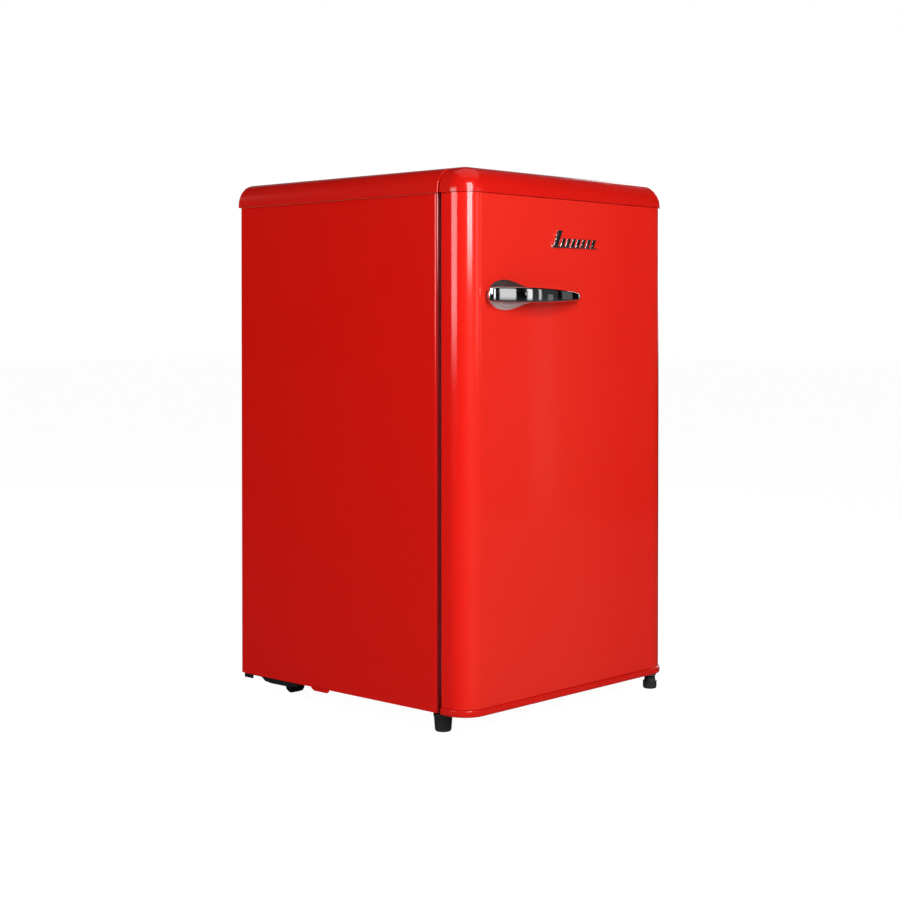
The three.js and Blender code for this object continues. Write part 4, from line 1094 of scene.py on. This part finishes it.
def handle_base():
    """Chrome drop with three terraces, each rounded over like a bead."""
    unused, y, unused = span("handle_base")
    terraces = 3
    riser = (y[1] - y[0]) / terraces
    rings = [lifted(handle_outline(1.0), y[1], "y")]
    for terrace in range(terraces):
        outer = 1.0 - 0.13 * terrace
        base = y[1] - riser * terrace
        for angle in rounding(0, 90, 4):
            scale = outer - 0.10 * (1 - math.cos(angle))
            level = base - riser * (0.2 + 0.8 * math.sin(angle))
            rings.append(lifted(handle_outline(scale), level, "y"))
    bm = bmesh.new()
    loft(bm, rings)
    finished("handle_base", bm, "chrome", angle=40, skin=satin_chrome())


def lever_section(proud, height, thick, steps=7):
    """Cross-section of the lever as (y, z): a flat front with round edges, and a flat back."""
    half = height / 2
    edge = min(thick / 2, 3.2)
    back_edge = edge * 0.45
    front, back = -proud, thick - proud
    points = []
    for centre_z, start in ((half - edge, 90), (edge - half, 180)):
        points += arc((front + edge, centre_z), edge, start, start + 90, steps)
    points += [(back - back_edge, -half), (back, back_edge - half)]
    return points + [(back, half - back_edge), (back - back_edge, half)]


def handle_lever():
    """Bowed chrome lever that narrows to the right, with a boss on the base and a small end foot."""
    unused, y, z = span("handle_lever")
    door_face = span("door_skin")[1][0]
    height_z = middle(z)
    stations = [
        (-213, 12.6, 16, 3.0), (-211, 14.5, 19.5, 4.4), (-206, 16.8, 22, 5.8), (-190, 21, 23.4, 7),
        (-160, 28, 23.4, 7), (-125, 33.5, 22.5, 7), (-90, 34.5, 20.5, 7), (-55, 31, 17.5, 7),
        (-25, 24.5, 14.5, 6.5), (-6, 17.8, 12.7, 6.3), (0.5, 14.2, 11.4, 5.2), (3, 12.8, 8.5, 3.4),
    ]
    rings = []
    for along, proud, height, thick in smooth_curve(stations, 8):
        section = lever_section(min(proud, door_face - y[0]), min(height, z[1] - z[0]), thick)
        rings.append([(along, door_face + v, height_z + w) for v, w in section])
    bm = bmesh.new()
    loft(bm, rings)
    boss_y = (door_face - 30, door_face - 9.6)
    soft_block(bm, (-151, -129), boss_y, around(height_z, 6.5), 5, 1, "y")
    foot_y = (door_face - 18, door_face - FIT)
    soft_block(bm, (-20, -8), foot_y, around(height_z, 4.5), 3, 0.6, "y")
    finished("handle_lever", bm, "chrome", angle=48)


def lozenge(x, width, height, inset=0.0):
    """Leaning lozenge with its left foot at x, as (x, z) points, shrunk all round by an inset."""
    slope = 0.45
    side = 1.1 * inset
    low, high = inset, height - inset
    left, right = x + side, x + width - side
    return [
        (left + slope * low, low), (right + slope * low, low),
        (right + slope * high, high), (left + slope * high, high),
    ]


def emblem():
    """Plain ornament: leaning lozenges with a dark infill over a tapering underline."""
    x, y, z = span("emblem")
    half = (x[1] - x[0]) / 2
    bars, fills = bmesh.new(), bmesh.new()

    def place(points, rise=0.0):
        return [(middle(x) + u, z[0] + w + rise) for u, w in points]

    line = [(-half, 0), (half - 4, 1), (half, 2), (half - 4, 2.8), (-half, 3)]
    extrude(bars, place(line), (y[1] - 2, y[1]), "y")
    for at, width, height in [(-55, 12, 26), *((-38 + 12.6 * step, 8.5, 14) for step in range(7))]:
        extrude(bars, place(lozenge(at, width, height), 1.5), (y[1] - 2.4, y[1]), "y")
        extrude(fills, place(lozenge(at, width, height, 1.2), 1.5), (y[0], y[1] - 2.2), "y")
    put("emblem_frame", bars, "chrome", DOOR, ("emblem",), edge=0.45, segments=3)
    put("emblem_infill", fills, "chrome", DOOR, edge=0.3, segments=2, skin=badge_enamel())


def build_door():
    door_skin()
    door_top_cap()
    door_bottom_cap()
    door_liner()
    door_foam()
    door_gasket()
    door_bins()
    handle_base()
    handle_lever()
    emblem()
    refined("hinge_bush_top", "white_plastic", 0.3)
    refined("hinge_bush_bottom", "white_plastic", 0.3)


# ---------------------------------------------------------------- feet, studs and hinges


def foot(node, profile, ribs):
    x, y, z = span(node)
    bm = bmesh.new()
    turned(bm, profile, (middle(x), middle(y), z[0]), segments=6 * ribs, ribs=ribs)
    finished(node, bm, "black_plastic", angle=60)


def feet():
    """Tapered feet with upright ribs: a collared one under the cabinet, a stepped one under the hinge."""
    rib = 1.3
    tall = [(10.9, 0, 0), (11.6, 0.7, 0), (12.4, 2.0, 0), (12.7, 3.2, rib)]
    tall += [(12.7 + 1.35 * step / 6, 3.2 + 18.4 * step / 6, rib) for step in range(1, 7)]
    tall += plain((14.2, 22.6), (14.7, 23.0), (15.0, 23.6), (15.0, 26.2), (14.5, 26.8), (4.4, 26.8))
    stepped = [*plain((9.6, 0), (10.4, 0.4), (11.0, 1.4)), (11.6, 2.8, rib), (11.6, 10.8, rib)]
    stepped += plain((11.8, 11.6), (11.6, 12.8), (10.6, 13.3), (9.5, 13.6))
    stepped += [(9.2, 14.2, rib / 2), (9.2, 19.2, rib / 2), *plain((9.0, 20.1), (8.5, 20.5), (3.4, 20.5))]
    foot("foot_left", tall, 20)
    foot("foot_right", stepped, 18)


def studs():
    for node, pitch in (("foot_left_stud", 1.25), ("foot_right_stud", 1.0)):
        x, y, z = span(node)
        bm = bmesh.new()
        threaded(bm, middle(x), middle(y), z, (x[1] - x[0]) / 2, pitch)
        finished(node, bm, "zinc_steel", angle=60)


def hinges():
    for node in ("foot_bracket_left", "bottom_hinge_bracket", "top_hinge_bracket"):
        refined(node, "zinc_steel", 0.4)
    for node in ("bottom_hinge_pin", "top_hinge_pin"):
        refined(node, "zinc_steel", 0.5)
    bm = bmesh.new()
    for node in ("foot_bracket_left", "bottom_hinge_bracket"):
        x, y, z = span(node)
        for across, along in ((0.35, 10), (0.75, 24)):
            place = (x[0] + (x[1] - x[0]) * across, y[1] - along, z[1] - 2.2)
            screw(bm, place, (0, 0, -1), 3.2)
    put("bracket_screws", bm, "zinc_steel", CABINET, angle=40)


# ---------------------------------------------------------------- interior


def glass_shelves():
    """Tempered plates with rounded corners and ground edges, and their front trims."""
    for node in ("crisper_cover_glass", "shelf_upper_glass", "shelf_lower_glass"):
        x, y, z = span(node)
        bm = bmesh.new()
        soft_block(bm, x, y, z, 6, 0.8, "z", 3)
        finished(node, bm, "shelf_glass", angle=50)
    for node in ("shelf_upper_trim", "shelf_lower_trim"):
        refined(node, "white_plastic", 1.2, 3)


def chiller():
    """Embossed aluminium box with its refrigerant channel and its front frame."""
    refined("evaporator_box", "aluminium", 0.6)
    refined("freezer_frame", "white_plastic", 1.2, 3)
    x, y, z = span("evaporator_box")
    floor_z = z[0] + 41.3
    left, right = grown(x, -40)
    bm = bmesh.new()
    points = []
    for row in range(5):
        ends = (left, right) if row % 2 == 0 else (right, left)
        points += [(end, y[0] + 30 + 40 * row, floor_z + 2) for end in ends]
    tube(bm, points, 3)
    put("evaporator_channel", bm, "aluminium", CABINET, angle=60)


def freezer_flap():
    x, y, z = span("freezer_door")
    refined("freezer_door", "clear_plastic", 1.2, 3)
    bm = bmesh.new()
    face = y[0] + 7.5
    for step in range(5):
        height = z[0] + 28 + 18 * step
        rib_y = (face - 1.2, face + 0.8)
        soft_block(bm, grown(x, -32), rib_y, (height, height + 3), 1.2, 0.8, "x", 3)
    put("freezer_flap_ribs", bm, "clear_plastic", frame["nodes"]["freezer_door"]["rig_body"], angle=60)


def drawers():
    x, y, z = span("chill_tray")
    bm = bmesh.new()
    tray(bm, x, y, z, 10)
    finished("chill_tray", bm, "clear_plastic", angle=50)
    x, y, z = span("crisper_drawer")
    bin_x = grown(x, -11)
    face_y = y[0] + 6
    bm = bmesh.new()
    tray(bm, bin_x, (face_y + 4, y[1]), z, 16)
    soft_block(bm, x, (face_y, face_y + 4), z, 8, 1.4, "y", 3)
    grip_z = (z[1] - 12, z[1] - 8)
    soft_block(bm, (-60, 60), (y[0], face_y + 1), grip_z, 1.6, 1.2, "x", 3)
    finished("crisper_drawer", bm, "clear_plastic", angle=50)


def controls():
    """Thermostat with its dial, the lamp cover and the door switch."""
    refined("thermostat_housing", "white_plastic", 1.0, 3)
    refined("switch_housing", "white_plastic", 0.8, 3)
    x, y, z = span("thermostat_knob")
    centre = (middle(x), y[1], middle(z))
    bm = bmesh.new()
    profile = [*plain((12.6, 0), (13, -0.5)), (13, -4.2, 0.5), *plain((12.4, -5.4), (11.4, -6), (4, -6))]
    turned(bm, profile, centre, "y", 120, 30)
    rib_x, rib_z = around(centre[0], 2.4), around(centre[2], 11.8)
    soft_block(bm, rib_x, (y[0], y[0] + 8), rib_z, 2, 1, "y", 3)
    finished("thermostat_knob", bm, "white_plastic", angle=50)
    ticks = bmesh.new()
    for number in range(7):
        angle = math.radians(-30 + 40 * number)
        radial_bar(ticks, (centre[0], y[1] + 0.1, centre[2]), "y", angle, (14, 16.2), 0.4, 0.6)
    put("thermostat_ticks", ticks, "black_plastic", CABINET)
    x, y, z = span("light_switch_plunger")
    bm = bmesh.new()
    reach = y[1] - y[0]
    profile = plain((0.9, 0), (2.3, 0.3), (3, 1.4), (3, reach - 1), (2.2, reach))
    turned(bm, profile, (middle(x), y[0], middle(z)), "y", 32)
    finished("light_switch_plunger", bm, "white_plastic", angle=50)
    x, y, z = span("lamp_lens")
    bm = bmesh.new()
    soft_block(bm, x, y, z, 3, 1.5, "y", 3)
    for step in range(10):
        centre_y = y[0] + (y[1] - y[0]) * (step + 1) / 11
        soft_block(bm, (x[0], x[0] + 2), around(centre_y, 1.5), grown(z, -6), 1, 0.6, "z", 2)
    finished("lamp_lens", bm, "clear_plastic", angle=50)


# ---------------------------------------------------------------- cooling system


def compressor():
    """Black pot with a weld seam on a foot plate, its process stub, grommets, relay cover and water tray."""
    x, y, z = span("compressor_shell")
    centre = (middle(x), middle(y))
    foot_top = z[0] + 3.5
    pot_foot = z[0] + 2
    outline = [
        (40, 0), (60, 0.4), (68, 4), (72.5, 9), (76, 18), (77.4, 30), (78, 50), (78, 59), (79, 60.2),
        (79.5, 62), (79.5, 66), (79, 67.8), (78, 69), (77.8, 84), (76.4, 100), (73, 114), (66, 127),
        (54, 135.6), (36, 140.2), (14, 142),
    ]
    bm = bmesh.new()
    turned(bm, plain(*outline), (0, 0, 0), "z", 96)
    for vert in bm.verts:
        vert.co.x = centre[0] + vert.co.x * 1.13
        vert.co.y = centre[1] + vert.co.y * 0.86
        vert.co.z += pot_foot
    soft_block(bm, x, around(centre[1], 52), (z[0], foot_top), 14, 0.8, "z", 3)
    finished("compressor_shell", bm, "black_steel", angle=45)
    stub = bmesh.new()
    bend = ((70, 20, 96), (84, 34, 100), (90, 48, 112), (90, 50, 134))
    tube(stub, smooth_curve([(centre[0] + u, centre[1] + v, pot_foot + w) for u, v, w in bend]), 3)
    put("compressor_process_stub", stub, "copper", CABINET, angle=60)
    bead = [(4, 0), (9.4, 0), (10, 0.6), (10, 3.4), (9.2, 4.2), (7.5, 5.4), (7.3, 6.2)]
    upper_bead = [(7.5, 7.2), (9.2, 8.4), (10, 9.2), (10, 11.8), (9.4, 12.4), (4, 12.5)]
    for number in range(1, 5):
        node = f"compressor_grommet_{number}"
        x, y, z = span(node)
        bm = bmesh.new()
        turned(bm, plain(*bead, *upper_bead), (middle(x), middle(y), z[0]), "z", 40)
        finished(node, bm, "black_rubber", angle=60)
    refined("relay_cover", "black_plastic", 2.0, 4)
    refined("evaporating_tray", "black_plastic", 0.7, 2)


def filter_dryer():
    x, y, z = span("filter_dryer")
    profile = plain(
        (2.4, 0), (2.4, 10), (3.4, 13), (6.4, 18), (8.4, 22), (9, 26),
        (9, 74), (8.4, 79), (6.2, 85), (3.8, 90), (3, 93), (3, 102),
    )
    bm = bmesh.new()
    turned(bm, profile, (middle(x), middle(y), z[0]), "z", 40)
    finished("filter_dryer", bm, "copper", angle=50)


def coil_path():
    """Centreline of the condenser: out of the bay, twelve level runs, and down the right side."""
    x, y, z = span("condenser_coil")
    dryer_x, dryer_y, dryer_z = span("filter_dryer")
    plane = y[1] - TUBE_RADIUS
    return_x = x[1] - TUBE_RADIUS
    half = 205
    end = half - COIL_BEND
    top_z = z[1] - TUBE_RADIUS
    first_z = top_z - 2 * COIL_BEND * (COIL_RUNS - 1)
    up_x, up_y = middle(dryer_x), middle(dryer_y)
    rise = [(up_x, up_y, dryer_z[1]), (up_x, up_y, dryer_z[1] + 28), (up_x, plane - 4, first_z - 41)]
    rise += [(up_x, plane, first_z - 31), (up_x, plane, first_z - 10), (up_x - 4, plane, first_z - 3)]
    path = smooth_curve(rise, 4) + [(up_x - 12, plane, first_z)]
    for run in range(COIL_RUNS - 1):
        side = -1 if run % 2 == 0 else 1
        centre = (side * end, first_z + (2 * run + 1) * COIL_BEND)
        path += lifted(arc(centre, COIL_BEND, -90, -270 if side < 0 else 90, 14), plane, "y")
    corner = 10
    path += lifted(arc((return_x - corner, top_z - corner), corner, 90, 0, 8), plane, "y")
    shell = span("compressor_shell")
    pot_y = middle(shell[1])
    fall = [(return_x, plane, first_z - 19), (return_x - 1, plane - 4, first_z - 33)]
    fall += [(return_x - 8, plane - 18, first_z - 50), (190, plane - 46, first_z - 105)]
    fall += [(150, plane - 70, first_z - 133), (110, pot_y, first_z - 143)]
    fall += [(middle(shell[0]) + 90, pot_y, first_z - 143)]
    path += smooth_curve(fall, 5)
    return [(u, min(v, plane), w) for u, v, w in path], plane, first_z, top_z


def condenser():
    """Serpentine tube with thin upright wires spot-welded across its runs, on six clips."""
    path, plane, first_z, top_z = coil_path()
    bm = bmesh.new()
    tube(bm, path, TUBE_RADIUS, 14)
    panel_y = span("side_panel_left")[1][1]
    for x in (-150, 150):
        for run in (2, 6, 10):
            height = first_z + 2 * COIL_BEND * run
            clip_y = (panel_y - SHEET, plane + 1)
            soft_block(bm, around(x, 6), clip_y, around(height, 4), 1.5, 0.5, "y", 2)
    finished("condenser_coil", bm, "black_steel", angle=60)
    wires = bmesh.new()
    count = 45
    for number in range(count):
        x = -176 + 352 * number / (count - 1)
        depth = plane - TUBE_RADIUS - WIRE_RADIUS + 0.2
        ends = (first_z - 8, top_z + 1.5)
        tube(wires, [(x, depth, ends[0]), (x, depth, middle(ends)), (x, depth, ends[1])], WIRE_RADIUS, 8)
    put("condenser_wires", wires, "black_steel", CABINET, angle=60)


def suction_line():
    x, y, z = span("suction_tube")
    centre = middle(x)
    tube_radius = (x[1] - x[0]) / 2
    route = [(y[1] - 1, z[0] + 4), (y[1] - 10, z[0] + 11), (y[0] + 6, z[0] + 23)]
    route += [(y[0] + tube_radius, z[0] + 36), (y[0] + tube_radius, z[1])]
    bm = bmesh.new()
    tube(bm, smooth_curve([(centre, along, height) for along, height in route], 6), tube_radius, 16)
    finished("suction_tube", bm, "copper", angle=60)


def rollers():
    """Rear rollers with a rounded tyre, a recessed web and eight spokes."""
    for node in ("rear_roller_left", "rear_roller_right"):
        x, y, z = span(node)
        centre = (middle(x), middle(y), middle(z))
        bm = bmesh.new()
        side = [(3.4, 11.5), (5.2, 11.5), (5.8, 10.9), (5.8, 7.5), (8.4, 7.5), (8.8, 10.9), (9.4, 11.5)]
        side += [(10.6, 11.4), (11.3, 10.4), (11.5, 8.8)]
        profile = plain(*side, *[(radius, -height) for radius, height in side[::-1]])
        turned(bm, profile, centre, "x", 48)
        for end in (-1, 1):
            start = (centre[0] + end * 7, centre[1], centre[2])
            for angle in circle(8):
                radial_bar(bm, start, "x", angle, (5, 9), 0.6, end * 3.2)
        finished(node, bm, "black_plastic", angle=45)


def cooling():
    compressor()
    filter_dryer()
    condenser()
    suction_line()
    rollers()
    refined("compressor_base", "black_steel", 0.4)
    refined("cord_gland", "black_rubber", 0.5)


# ---------------------------------------------------------------- the whole object


def finish_hidden_foam():
    """The cabinet's foam shows nowhere, but its node carries its own material too."""
    slots = frame["nodes"]["insulation_foam"].data.materials
    slots.clear()
    slots.append(MATERIALS["foam"])


make_camera()
make_world()
make_floor()
make_lights()
cabinet_shell()
build_door()
feet()
studs()
hinges()
glass_shelves()
chiller()
freezer_flap()
drawers()
controls()
cooling()
finish_hidden_foam()
bpy.context.scene.view_settings.view_transform = "Standard"
